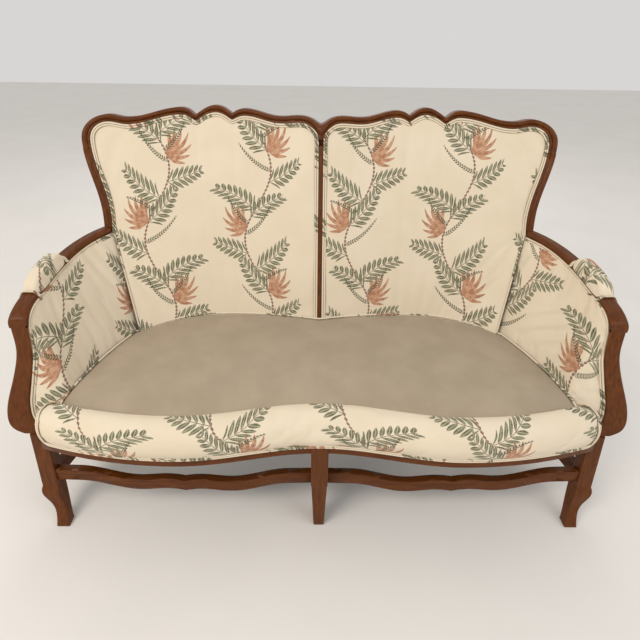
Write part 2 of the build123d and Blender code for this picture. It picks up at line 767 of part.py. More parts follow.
def arm_section(share):
    """Return the arm rail's section: a round top that noses over at the elbow, a rebate inside."""
    half = arm_half(share)
    past = max(0.0, share - 1 + ARM_NOSE_RUN) / ARM_NOSE_RUN
    top = -ARM_NOSE_DROP * (1 - math.sqrt(1 - past**2))
    lip = top - ARM_LIP
    round_mid = ARM_ROUND * (1 - math.sqrt(0.5))
    with BuildSketch(arm_frame(share)) as section:
        with BuildLine():
            Polyline(
                (-half, top - ARM_ROUND),
                (-half, lip),
                (ARM_REBATE - half, lip),
                (ARM_REBATE - half, -ARM_HEIGHT),
                (half, -ARM_HEIGHT),
                (half, top - ARM_ROUND),
            )
            ThreePointArc((half, top - ARM_ROUND), (half - round_mid, top - round_mid), (half - ARM_ROUND, top))
            Line((half - ARM_ROUND, top), (ARM_ROUND - half, top))
            ThreePointArc((ARM_ROUND - half, top), (round_mid - half, top - round_mid), (-half, top - ARM_ROUND))
        make_face()
    return section.sketch


with BuildPart() as arm_rail:
    nose = 1 - ARM_NOSE_RUN
    loft(sections=[arm_section(nose * step / ARM_STATIONS) for step in range(ARM_STATIONS + 1)])
    turns = [math.sin(math.pi / 2 * step / NOSE_STATIONS) for step in range(NOSE_STATIONS + 1)]
    loft(sections=[arm_section(nose + ARM_NOSE_RUN * turn) for turn in turns], ruled=True)
    add(back_post.part, mode=Mode.SUBTRACT)
    add(dowels.part, mode=Mode.SUBTRACT)
    scraps = arm_rail.solids().sort_by(SortBy.VOLUME)[:-1]
    for scrap in scraps:
        add(scrap, mode=Mode.SUBTRACT)


def arm_post_section(z, x, width, front_y, margin):
    """Return a level section of the arm post with its corners eased, grown by a margin."""
    with BuildSketch(Plane.XY.offset(z)) as section:
        with Locations((x, front_y + POST_DEPTH / 2)):
            RectangleRounded(width + 2 * margin, POST_DEPTH + 2 * margin, POST_ROUND + margin)
    return section.sketch


elbow = (ELBOW_TOP, ARM_END_X, ARM_WIDTH, ARM_END_Y)
post_stations = ARM_POST_STATIONS + [elbow]
with BuildPart() as arm_post_room:
    loft(sections=[arm_post_section(*station, SOFT_GAP) for station in post_stations])

with BuildPart() as arm_post:
    loft(sections=[arm_post_section(*station, 0) for station in post_stations])
    add(side_rail.part, mode=Mode.SUBTRACT)
    add(front_rail.part, mode=Mode.SUBTRACT)
    add(side_leg.part, mode=Mode.SUBTRACT)
    add(dowels.part, mode=Mode.SUBTRACT)

# Corner blocks and their screws

BLOCK_Z = RAIL_BOTTOM + (RAIL_HEIGHT - BLOCK_HEIGHT) / 2
FRONT_BLOCK = (SIDE_RAIL_FRONT_X, FRONT_REAR_Y)
REAR_BLOCK = (POST_SEAT_X - STILE_FACE, POST_SEAT_Y)


def block_solid(corner, run):
    """Return a triangular block in a corner of the seat frame, trimmed by its rails."""
    x, y = corner
    with BuildPart() as block:
        with BuildSketch(Plane.XY.offset(BLOCK_Z)):
            with BuildLine():
                Polyline((x, y), (x - 2 * BLOCK_LEG, y), (x, y + 2 * run), close=True)
            make_face()
        extrude(amount=BLOCK_HEIGHT)
        for rail in (front_rail, side_rail, back_rail, side_leg, back_post):
            add(rail.part, mode=Mode.SUBTRACT)
    return block.solids().sort_by(SortBy.VOLUME)[-1]


def screw_solid(place, direction):
    """Return a screw whose head is at a place and whose shank runs along a direction."""
    with BuildPart() as screw:
        with BuildSketch(Plane(origin=place, z_dir=direction)):
            Circle(SCREW_HEAD_RADIUS)
        extrude(amount=SCREW_HEAD_HEIGHT)
        with BuildSketch(Plane(origin=place, z_dir=direction)):
            Circle(SCREW_RADIUS)
        extrude(amount=SCREW_LENGTH)
    return screw.part


with BuildPart() as screws:
    for corner, run, into_y in ((FRONT_BLOCK, BLOCK_LEG, -1), (REAR_BLOCK, -BLOCK_LEG, 1)):
        x, y = corner
        reach = SCREW_LENGTH - SIDE_RAIL_THICK / 2
        side_place = (x - SIDE_RAIL_THICK / 2 - reach, y + 0.75 * run, BLOCK_Z + BLOCK_HEIGHT / 2)
        rail_x = x - 0.75 * BLOCK_LEG
        rail_y = front_line(rail_x) + FRONT_RAIL_THICK if into_y < 0 else y
        rail_place = (rail_x, rail_y - into_y * reach, BLOCK_Z + BLOCK_HEIGHT / 2)
        for mark, direction in ((side_place, (1, 0, 0)), (rail_place, (0, into_y, 0))):
            screw = screw_solid(mark, direction)
            add(screw)
            add(mirrored(screw))

with BuildPart() as corner_blocks:
    for corner, run in ((FRONT_BLOCK, BLOCK_LEG), (REAR_BLOCK, -BLOCK_LEG)):
        block = block_solid(corner, run)
        add(block)
        add(mirrored(block))
    add(screws.part, mode=Mode.SUBTRACT)

with BuildPart() as front_rail_bored:
    add(front_rail.part)
    add(screws.part, mode=Mode.SUBTRACT)

with BuildPart() as back_rail_bored:
    add(back_rail.part)
    add(screws.part, mode=Mode.SUBTRACT)

with BuildPart() as side_rail_bored:
    add(side_rail.part)
    add(screws.part, mode=Mode.SUBTRACT)

# Webbing

with BuildPart() as webbing_across:
    for index in range(WEB_COUNT_X):
        x = (index - (WEB_COUNT_X - 1) / 2) * WEB_PITCH_X
        start = front_line(x) + FRONT_RAIL_THICK / 2
        end = back_rail_line(x) + BACK_RAIL_THICK / 2
        with Locations((x, (start + end) / 2, RAIL_TOP + WEB_THICK / 2)):
            Box(WEB_WIDTH, end - start, WEB_THICK)

with BuildPart() as webbing_along:
    for index in range(WEB_COUNT_Y):
        y = WEB_MID_Y + (index - (WEB_COUNT_Y - 1) / 2) * WEB_PITCH_Y
        share = (y - CORNER_REAR_Y) / (POST_INNER_Y - CORNER_REAR_Y)
        reach = blend(SIDE_RAIL_FRONT_X, SIDE_RAIL_REAR_X, share) - SIDE_RAIL_THICK
        with Locations((0, y, RAIL_TOP + 1.5 * WEB_THICK)):
            Box(2 * reach, WEB_WIDTH, WEB_THICK)

# Padded back


def bay_section(z, front_shift, rear_shift, side, crown):
    """Return a level slice of the right back half between two shifts behind its face."""
    side_x, side_y = side
    half_bay = BAY_X / 2
    outer_mid = (BAY_X + side_x) / 2
    bay_y = back_face(BAY_X, z)

    def outer(x):
        share = (x - BAY_X) / (side_x - BAY_X)
        return bay_y - (bay_y - side_y) * share**2

    front = [
        (0, back_face(0, z) + front_shift),
        (half_bay, back_face(half_bay, z) + front_shift - 0.75 * crown),
        (BAY_X, bay_y + front_shift - crown),
        (outer_mid, outer(outer_mid) + front_shift - 0.75 * crown),
        (side_x, side_y + front_shift),
    ]
    rear = [
        (side_x, side_y + rear_shift),
        (outer_mid, outer(outer_mid) + rear_shift),
        (BAY_X, bay_y + rear_shift),
        (half_bay, back_face(half_bay, z) + rear_shift),
        (0, back_face(0, z) + rear_shift),
    ]
    with BuildSketch(Plane.XY.offset(z)) as section:
        with BuildLine():
            ThreePointArc(*front[:3])
            ThreePointArc(*front[2:])
            Line(front[-1], rear[0])
            ThreePointArc(*rear[:3])
            ThreePointArc(*rear[2:])
            Line(rear[-1], front[0])
        make_face()
    return section.sketch


def back_region(start_x, crest_inset, stile_inset, bottom):
    """Return the right back half's outline in elevation, inset from the frame's outer edge."""
    notches = [start_x] + [x for kind, x, z in CREST_POINTS[1:] if kind == "notch"] + [CORNER_X]

    def inset_at(x):
        return crest_inset + (crest_depth(x) - CREST_FACE if crest_inset > CREST_FACE else 0)

    corner_run_x = STILE_TOP_X - CORNER_X - stile_inset
    corner_run_z = CORNER_Z - STILE_TOP_Z - crest_inset
    corner = []
    for step in range(7):
        turn = math.radians(90 * step / 6)
        x = CORNER_X + corner_run_x * math.sin(turn)
        corner.append((x, STILE_TOP_Z + corner_run_z * math.cos(turn)))
    stile = [blend(STILE_TOP_Z, JUNCTION_Z, step / 8) for step in range(9)]
    foot = [blend(JUNCTION_Z, bottom, step / 6) for step in range(7)]
    with BuildSketch(Plane.XZ) as region:
        with BuildLine():
            for left, right in zip(notches, notches[1:]):
                places = [blend(left, right, step / 8) for step in range(9)]
                Spline(*[(x, crest_height(x) - inset_at(x)) for x in places])
            Spline(*corner)
            Spline(*[(stile_x(z) - stile_inset, z) for z in stile])
            Spline(*[(post_place(z)[0] - stile_inset, z) for z in foot])
            Polyline(
                (post_place(bottom)[0] - stile_inset, bottom),
                (start_x, bottom),
                (start_x, crest_height(start_x) - inset_at(start_x)),
            )
        make_face()
    return region.sketch


CREST_TOP = max(z for kind, x, z in CREST_POINTS)

with BuildPart() as back_pad:
    lower = [blend(SOFT_BASE, JUNCTION_Z - 1, step / 3) for step in range(4)]
    upper = [blend(JUNCTION_Z - 1, CREST_TOP, step / 4) for step in range(5)]
    for levels in (lower, upper):
        sections = []
        for z in levels:
            swell = BACK_PAD_CROWN * math.sin(math.pi * (z - SOFT_BASE) / (CREST_TOP - SOFT_BASE))
            sections.append(bay_section(z, 0, PAD_REAR, side_line(z), swell))
        loft(sections=sections)
    pad_start = CENTRE_STILE_FACE / 2 + SOFT_GAP
    outline = back_region(pad_start, CREST_FACE + SOFT_GAP, STILE_FACE + SOFT_GAP, SOFT_BASE)
    extrude(outline, amount=CREST_TOP, both=True, mode=Mode.INTERSECT)
    for neighbour in (centre_stile, back_post, crest_rail):
        add(neighbour.part, mode=Mode.SUBTRACT)

with BuildPart() as outside_back:
    levels = [RAIL_BOTTOM] + [blend(DECK_Z, JUNCTION_Z, step / 2) for step in range(3)]
    levels += [blend(JUNCTION_Z, CREST_JOINT_Z, 0.5), CREST_JOINT_Z, CREST_TOP]
    sections = []
    for z in levels:
        rail_shift = back_rail_line(0) + BACK_RAIL_THICK - back_face(0, z) if z < RAIL_TOP else 0
        shift = max(SHOW_DEPTH, rail_shift) + SOFT_GAP
        sections.append(bay_section(z, shift, shift + COVER_THICK, post_place(z), 0))
    loft(sections=sections)
    outline = back_region(SOFT_GAP, COVER_MARGIN, COVER_MARGIN, RAIL_BOTTOM)
    extrude(outline, amount=CREST_TOP, both=True, mode=Mode.INTERSECT)
    for neighbour in (back_rail, back_post, crest_rail):
        add(neighbour.part, mode=Mode.SUBTRACT)

# Padded arms


def deck_side(share):
    """Return X and Y of the deck's side edge, from the panel seam to the front corner."""
    y = blend(SEAM_FOOT_Y, DECK_SIDE_Y, share)
    weights = (2 * (share - 0.5) * (share - 1), 4 * share * (1 - share), 2 * share * (share - 0.5))
    x = sum(w * v for w, v in zip(weights, (SEAM_FOOT_X, DECK_SIDE_MID_X, DECK_SIDE_X)))
    return x, y


def panel_section(low, high, outward, bow):
    """Return a slice of the arm panel between two points of its inner face.

    The slice's thickness runs along outward, a level unit vector, and bow is how far its
    middle stands out that way.
    """
    run = [end - start for start, end in zip(low, high)]
    lean = run[0] * outward[0] + run[1] * outward[1]
    up = (run[0] - lean * outward[0], run[1] - lean * outward[1], run[2])
    rise = math.hypot(*up)
    out = (outward[0], outward[1], 0)
    cross = (out[1] * up[2], -out[0] * up[2], out[0] * up[1] - out[1] * up[0])
    plane = Plane(origin=low, x_dir=out, z_dir=cross)
    thick_mid = (ARM_PANEL_THICK + lean + ARM_PANEL_EDGE) / 2 + max(0.0, bow)
    with BuildSketch(plane) as section:
        with BuildLine():
            ThreePointArc((0, 0), (lean / 2 + bow, rise / 2), (lean, rise))
            Line((lean, rise), (lean + ARM_PANEL_EDGE, rise))
            ThreePointArc((lean + ARM_PANEL_EDGE, rise), (thick_mid + 1, rise / 2), (ARM_PANEL_THICK, 0))
            Line((ARM_PANEL_THICK, 0), (0, 0))
        make_face()
    return section.sketch


with BuildPart() as arm_panel:
    sections = []
    for share in (0.03, 0.25, 0.5, 0.75, 0.96):
        x, y = deck_side(share)
        inner = ARM_REBATE - arm_half(share) - ARM_PANEL_EDGE - SOFT_GAP
        high = arm_frame(share).from_local_coords((inner, -ARM_LIP - SOFT_GAP, 0))
        run_x, run_y = high.X - x - SOFT_GAP, high.Y - y
        length = math.hypot(run_x, run_y)
        outward = (run_x / length, run_y / length)
        low = (x + SOFT_GAP, y, SOFT_BASE)
        sections.append(panel_section(low, (high.X, high.Y, high.Z), outward, -ARM_PANEL_CROWN))
    sections.append(panel_section(ARM_PANEL_TOE_LOW, ARM_PANEL_TOE_HIGH, (1, 0), ARM_PANEL_TOE_BOW))
    loft(sections=sections)
    for neighbour in (arm_post, arm_rail, side_rail, front_rail, side_leg, back_post, back_pad):
        add(neighbour.part, mode=Mode.SUBTRACT)
    for neighbour in (corner_blocks, webbing_along):
        add(neighbour.part, mode=Mode.SUBTRACT)
    for scrap in arm_panel.solids().sort_by(SortBy.VOLUME)[:-1]:
        add(scrap, mode=Mode.SUBTRACT)


def arm_pad_section(share, scale):
    """Return a slice of the arm pad: upright sides and an arched top on the arm rail."""
    half = scale * ARM_PAD_WIDTH / 2
    waist = 0.95 * half
    shoulder = SOFT_GAP + 0.35 * scale * ARM_PAD_HEIGHT
    with BuildSketch(arm_frame(share)) as section:
        with BuildLine():
            Polyline((-waist, shoulder), (-half, SOFT_GAP), (half, SOFT_GAP), (waist, shoulder))
            ThreePointArc((waist, shoulder), (0, SOFT_GAP + scale * ARM_PAD_HEIGHT), (-waist, shoulder))
        make_face()
    return section.sketch


with BuildPart() as arm_pad:
    sections = []
    for share, scale in ARM_PAD_STATIONS:
        sections.append(arm_pad_section(blend(ARM_PAD_START, ARM_PAD_END, share), scale))
    loft(sections=sections)

with BuildPart() as outside_arm:
    sections = []
    tops = []
    for share in (0.0, 0.2, 0.45, 0.7, 0.93):
        x, y, z = arm_place(share)
        inset = blend(ARM_WIDTH / 2, 2 * COVER_THICK, share)
        tops.append((x + ARM_WIDTH / 2 - inset, y, z - ARM_HEIGHT - SOFT_GAP))
    tops.append(COVER_TOE)
    for top_x, y, top_z in tops:
        along = (y - CORNER_REAR_Y) / (POST_INNER_Y - CORNER_REAR_Y)
        foot_x = blend(SIDE_RAIL_FRONT_X, SIDE_RAIL_REAR_X, along) + SIDE_RAIL_THICK / 2 + 2 * SOFT_GAP
        with BuildSketch(Plane(origin=(0, y, 0), x_dir=(1, 0, 0), z_dir=(0, -1, 0))) as slice_face:
            with BuildLine():
                Polyline(
                    (foot_x, RAIL_BOTTOM),
                    (foot_x + COVER_THICK, RAIL_BOTTOM),
                    (top_x, top_z),
                    (top_x - COVER_THICK, top_z),
                    close=True,
                )
            make_face()
        sections.append(slice_face.sketch)
    loft(sections=sections[:-1])
    loft(sections=sections[-2:], ruled=True)
    for neighbour in (side_rail, arm_post_room, arm_rail, back_post):
        add(neighbour.part, mode=Mode.SUBTRACT)
    for scrap in outside_arm.solids().sort_by(SortBy.VOLUME)[:-1]:
        add(scrap, mode=Mode.SUBTRACT)

# Seat


def roll_section(x):
    """Return the front roll's slice at X: over the rail's front and top, smaller at the ends."""
    face = front_line(x)
    past = max(0.0, abs(x) - (ROLL_END_X - ROLL_END_RADIUS)) / ROLL_END_RADIUS
    full = 0.3 + 0.7 * math.sqrt(max(0.0, 1 - past**2))
    base_y = face + LIP_STEP - SOFT_GAP
    low_z = LIP_TOP + SOFT_GAP
    rise = ROLL_TOP - SOFT_BASE
    nose_y = base_y - full * (LIP_STEP + ROLL_PROUD)
    shoulder = (base_y - 0.5 * full * (LIP_STEP + ROLL_PROUD), SOFT_BASE + 0.7 * full * rise)
    rear_y = base_y + 0.5 * FRONT_RAIL_THICK + full * (ROLL_DEPTH - 0.5 * FRONT_RAIL_THICK - LIP_STEP)
    rear_top = (rear_y, SOFT_BASE + 0.88 * full * rise)
    crown = ((shoulder[0] + rear_y) / 2, SOFT_BASE + full * rise)
    foot = (base_y - full * LIP_STEP, low_z)
    with BuildSketch(Plane(origin=(x, 0, 0), x_dir=(0, 1, 0), z_dir=(1, 0, 0))) as section:
        with BuildLine():
            ThreePointArc(foot, (nose_y, (low_z + shoulder[1]) / 2), shoulder)
            ThreePointArc(shoulder, crown, rear_top)
            Polyline(rear_top, (rear_y, SOFT_BASE), (base_y, SOFT_BASE), (base_y, low_z), foot)
        make_face()
    return section.sketch


with BuildPart() as front_roll:
    straight = [blend(0, ROLL_END_X - ROLL_END_RADIUS, step / 8) for step in range(9)]
    rounding = [ROLL_END_X - ROLL_END_RADIUS * (1 - turn) for turn in (0.4, 0.7, 0.9, 1.0)]
    half_run = straight + rounding
    stations = [-x for x in reversed(half_run[1:])] + half_run
    loft(sections=[roll_section(x) for x in stations])

with BuildPart() as seat_pad:
    level = SOFT_BASE
    rear_gap = SOFT_GAP + 1.0
    seam_x, seam_y = side_line(level)
    rear_stations = [blend(0, seam_x, step / 8) for step in range(9)]
    front_stations = [blend(0, DECK_SIDE_X - SOFT_GAP, step / 8) for step in range(9)]
    rear = [(x, back_face(x, level) - rear_gap) for x in rear_stations]
    side = [deck_side(step / 6) for step in range(7)]
    side = [(x - rear_gap, y) for x, y in side]
    front = [(x, front_line(x) + ROLL_DEPTH + SOFT_GAP) for x in front_stations]
    with BuildSketch(Plane.XY.offset(level)):
        with BuildLine():
            Spline(*rear)
            Line(rear[-1], side[0])
            Spline(*side)
            Line(side[-1], front[-1])
            Spline(*front)
            Line(front[0], rear[0])
        make_face()
        mirror(about=Plane.YZ)
    extrude(amount=2 * (DECK_Z - level))
    with Locations((0, DECK_CROWN_Y, DECK_Z - DECK_CROWN_RADIUS)):
        Sphere(DECK_CROWN_RADIUS, mode=Mode.INTERSECT)
    for neighbour in (arm_panel.part, mirrored(arm_panel.part), back_pad.part, mirrored(back_pad.part)):
        add(neighbour, mode=Mode.SUBTRACT)

with BuildPart() as dust_cover:
    margin = COVER_MARGIN
    end_x = POST_SEAT_X - STILE_FACE - LEDGE
    rear_stations = [blend(0, end_x - margin, step / 8) for step in range(9)]
    front_stations = [blend(0, SIDE_RAIL_FRONT_X, step / 8) for step in range(9)]
    rear = [(x, back_rail_line(x) + BACK_RAIL_THICK - margin) for x in rear_stations]
    front = [(x, front_line(x) + margin) for x in front_stations]
    with BuildSketch(Plane.XY.offset(RAIL_BOTTOM - COVER_THICK)):
        with BuildLine():
            Spline(*rear)
            Polyline(rear[-1], (SIDE_RAIL_REAR_X, rear[-1][1] - margin), front[-1])
            Spline(*front)
            Line(front[0], rear[0])
        make_face()
        mirror(about=Plane.YZ)
    extrude(amount=COVER_THICK)
    for leg in (side_leg.part, mirrored(side_leg.part), centre_leg.part, rear_leg.part):
        add(leg, mode=Mode.SUBTRACT)
    for leg in (back_post.part, mirrored(back_post.part), dowels.part):
        add(leg, mode=Mode.SUBTRACT)
    for scrap in dust_cover.solids().sort_by(SortBy.VOLUME)[:-1]:
        add(scrap, mode=Mode.SUBTRACT)

save_pair(back_post_bored.part, "back_post")
save_pair(crest_rail.part, "crest_rail")
save(centre_stile.part, "center_stile")
save(front_rail_bored.part, "front_seat_rail")
save(back_rail_bored.part, "back_seat_rail")
save_pair(side_rail_bored.part, "side_seat_rail")
save(middle_rail.part, "middle_seat_rail")
save_pair(side_leg.part, "front_leg")
save(centre_leg.part, "front_leg_center")
save(rear_leg.part, "rear_leg_center")
save_pair(front_stretcher.part, "front_stretcher")
save_pair(side_stretcher.part, "side_stretcher")
save(middle_stretcher.part, "middle_stretcher")
save_pair(arm_rail.part, "arm_rail")
save_pair(arm_post.part, "arm_post")
save(dowels.part, "dowels")
save(glides.part, "glides")
save(corner_blocks.part, "corner_blocks")
save(screws.part, "block_screws")
save(webbing_across.part, "seat_webbing_across")
save(webbing_along.part, "seat_webbing_along")
save(seat_pad.part, "seat_deck")
save(front_roll.part, "front_roll")
save_pair(back_pad.part, "back_panel")
save_pair(arm_panel.part, "arm_panel")
save_pair(arm_pad.part, "arm_pad")
save_pair(outside_back.part, "outside_back")
save_pair(outside_arm.part, "outside_arm")
save(dust_cover.part, "dust_cover")
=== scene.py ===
"""Looks of a two-seat show-wood settee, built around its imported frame, in metres.

The frame is +Z up, the front faces -Y and the origin is on the floor under the middle.
Soft pieces are grids worked out from the same lines as the solids, then stuffed with a
short cloth simulation. Wooden pieces are smooth-shaded copies of the solids.
"""

import logging
import math
from dataclasses import dataclass, field
from enum import Enum

import bmesh
import bpy
import numpy as np
from mathutils import Euler, Matrix


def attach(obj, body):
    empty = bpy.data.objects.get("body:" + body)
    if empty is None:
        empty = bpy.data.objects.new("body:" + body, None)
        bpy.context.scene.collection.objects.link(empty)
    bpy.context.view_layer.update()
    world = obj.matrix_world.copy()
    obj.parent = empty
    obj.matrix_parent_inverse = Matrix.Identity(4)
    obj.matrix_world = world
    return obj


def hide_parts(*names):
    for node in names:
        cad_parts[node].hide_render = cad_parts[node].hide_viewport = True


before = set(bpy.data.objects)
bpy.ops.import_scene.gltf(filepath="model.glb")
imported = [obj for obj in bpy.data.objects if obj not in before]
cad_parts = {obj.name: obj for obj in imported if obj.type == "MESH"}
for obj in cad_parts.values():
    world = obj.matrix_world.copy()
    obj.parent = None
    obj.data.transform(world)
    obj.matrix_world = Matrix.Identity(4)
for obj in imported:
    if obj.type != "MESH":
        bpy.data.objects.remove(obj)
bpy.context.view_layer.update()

Array = np.ndarray
Triple = tuple[float, float, float]
Socket = bpy.types.NodeSocket
LOG = logging.getLogger("settee")
BODY = "root"
PAD_GAP = 0.0004  # room between stuffed cloth and wood, so that no faces coincide
COVER_GAP = 0.0006  # the same under the stretched covers
SETTLE_ROUNDS = 8  # rounds of repeated substitution where an outline bounds a grid
SHARP_DEGREES = 32


class Side(Enum):
    """The two hands of the settee, as the viewer in front sees them."""

    LEFT = -1
    RIGHT = 1

    @property
    def word(self) -> str:
        """The side's name at the end of a piece's name."""
        return self.name.lower()


class Grain(Enum):
    """The direction that a wooden piece's fibres run in, as stretch per axis."""

    ALONG_X = (0.09, 1.0, 1.0)
    ALONG_Y = (1.0, 0.09, 1.0)
    ALONG_Z = (1.0, 1.0, 0.09)


def blend(low: Array, high: Array, share: Array) -> Array:
    """Return the value a share of the way from low to high."""
    return low + (high - low) * share


def ease(low: Array, high: Array, share: Array) -> Array:
    """Return a value that leaves low and reaches high on level tangents (half a cosine wave)."""
    return blend(low, high, (1 - np.cos(np.pi * share)) / 2)


def smooth_step(value: Array, low: float, high: float) -> Array:
    """Return 0 below low, 1 above high and the cubic 3t^2 - 2t^3 between them."""
    share = np.clip((value - low) / (high - low), 0, 1)
    return share * share * (3 - 2 * share)


def unit(vectors: Array) -> Array:
    """Return vectors divided by their lengths, along the last axis."""
    return vectors / np.maximum(np.linalg.norm(vectors, axis=-1, keepdims=True), 1e-12)


def parabola_weights(share: Array) -> tuple[Array, Array, Array]:
    """Return the weights of a start, middle and end point on the parabola through them."""
    return 2 * (share - 0.5) * (share - 1), 4 * share * (1 - share), 2 * share * (share - 0.5)


def smooth_path(points: Array, count: int) -> Array:
    """Return a Catmull-Rom curve through points.

    Args:
        points: Way points, shaped (..., k, d), with the curve running along axis -2.
        count: How many places to give along the curve.

    Returns:
        Places on the curve, shaped (..., count, d).
    """
    way = np.asarray(points, float)
    first = 2 * way[..., :1, :] - way[..., 1:2, :]
    last = 2 * way[..., -1:, :] - way[..., -2:-1, :]
    way = np.concatenate([first, way, last], axis=-2)
    spans = way.shape[-2] - 3
    place = np.linspace(0, spans, count)
    index = np.minimum(place.astype(int), spans - 1)
    t = (place - index)[:, None]
    a, b, c, d = (way[..., index + k, :] for k in range(4))
    cubic = (2 * a - 5 * b + 4 * c - d) * t**2 + (3 * b - a - 3 * c + d) * t**3
    return 0.5 * (2 * b + (c - a) * t + cubic)


def spaced(path: Array, step: float) -> Array:
    """Return the path's places at an even step of arc length, by linear interpolation.

    Args:
        path: Places shaped (n, d), with X, Y and Z first and anything carried along after.
        step: Wanted distance between places, in metres.

    Returns:
        Places shaped (m, d), both ends kept.
    """
    run = np.concatenate([[0.0], np.cumsum(np.linalg.norm(np.diff(path[:, :3], axis=0), axis=1))])
    count = max(2, int(round(run[-1] / step)) + 1)
    goal = np.linspace(0, run[-1], count)
    return np.stack([np.interp(goal, run, path[:, axis]) for axis in range(path.shape[1])], axis=1)


def eased_corners(line: Array, passes: int) -> Array:
    """Return a path with its corners rounded by averaging neighbours, both ends kept."""
    for _ in range(passes):
        line[1:-1] = 0.25 * line[:-2] + 0.5 * line[1:-1] + 0.25 * line[2:]
    return line


def grid_quads(rows: int, columns: int, start: int = 0) -> Array:
    """Return the quads of a grid of vertices numbered row by row from start."""
    corner = (np.arange(rows - 1)[:, None] * columns + np.arange(columns - 1)[None, :]).ravel() + start
    return np.stack([corner, corner + columns, corner + columns + 1, corner + 1], axis=1)


def border_ring(rows: int, columns: int) -> Array:
    """Return the numbers of a grid's border vertices, in order round it."""
    number = np.arange(rows * columns).reshape(rows, columns)
    return np.concatenate([number[0, :-1], number[:-1, -1], number[-1, :0:-1], number[:0:-1, 0]])


def tube_quads(rows: int, columns: int) -> Array:
    """Return the quads of rings of vertices numbered ring by ring, each ring closed."""
    number = np.arange(rows * columns).reshape(rows, columns)
    wrap = np.roll(number, -1, axis=1)
    return np.stack([number[:-1], number[1:], wrap[1:], wrap[:-1]], axis=-1).reshape(-1, 4)


def vertex_values(mesh: bpy.types.Mesh, kind: str = "co") -> Array:
    """Return the places, or another vector, of a mesh's vertices, shaped (n, 3)."""
    values = np.zeros(len(mesh.vertices) * 3, np.float32)
    mesh.vertices.foreach_get(kind, values)
    return values.reshape(-1, 3)


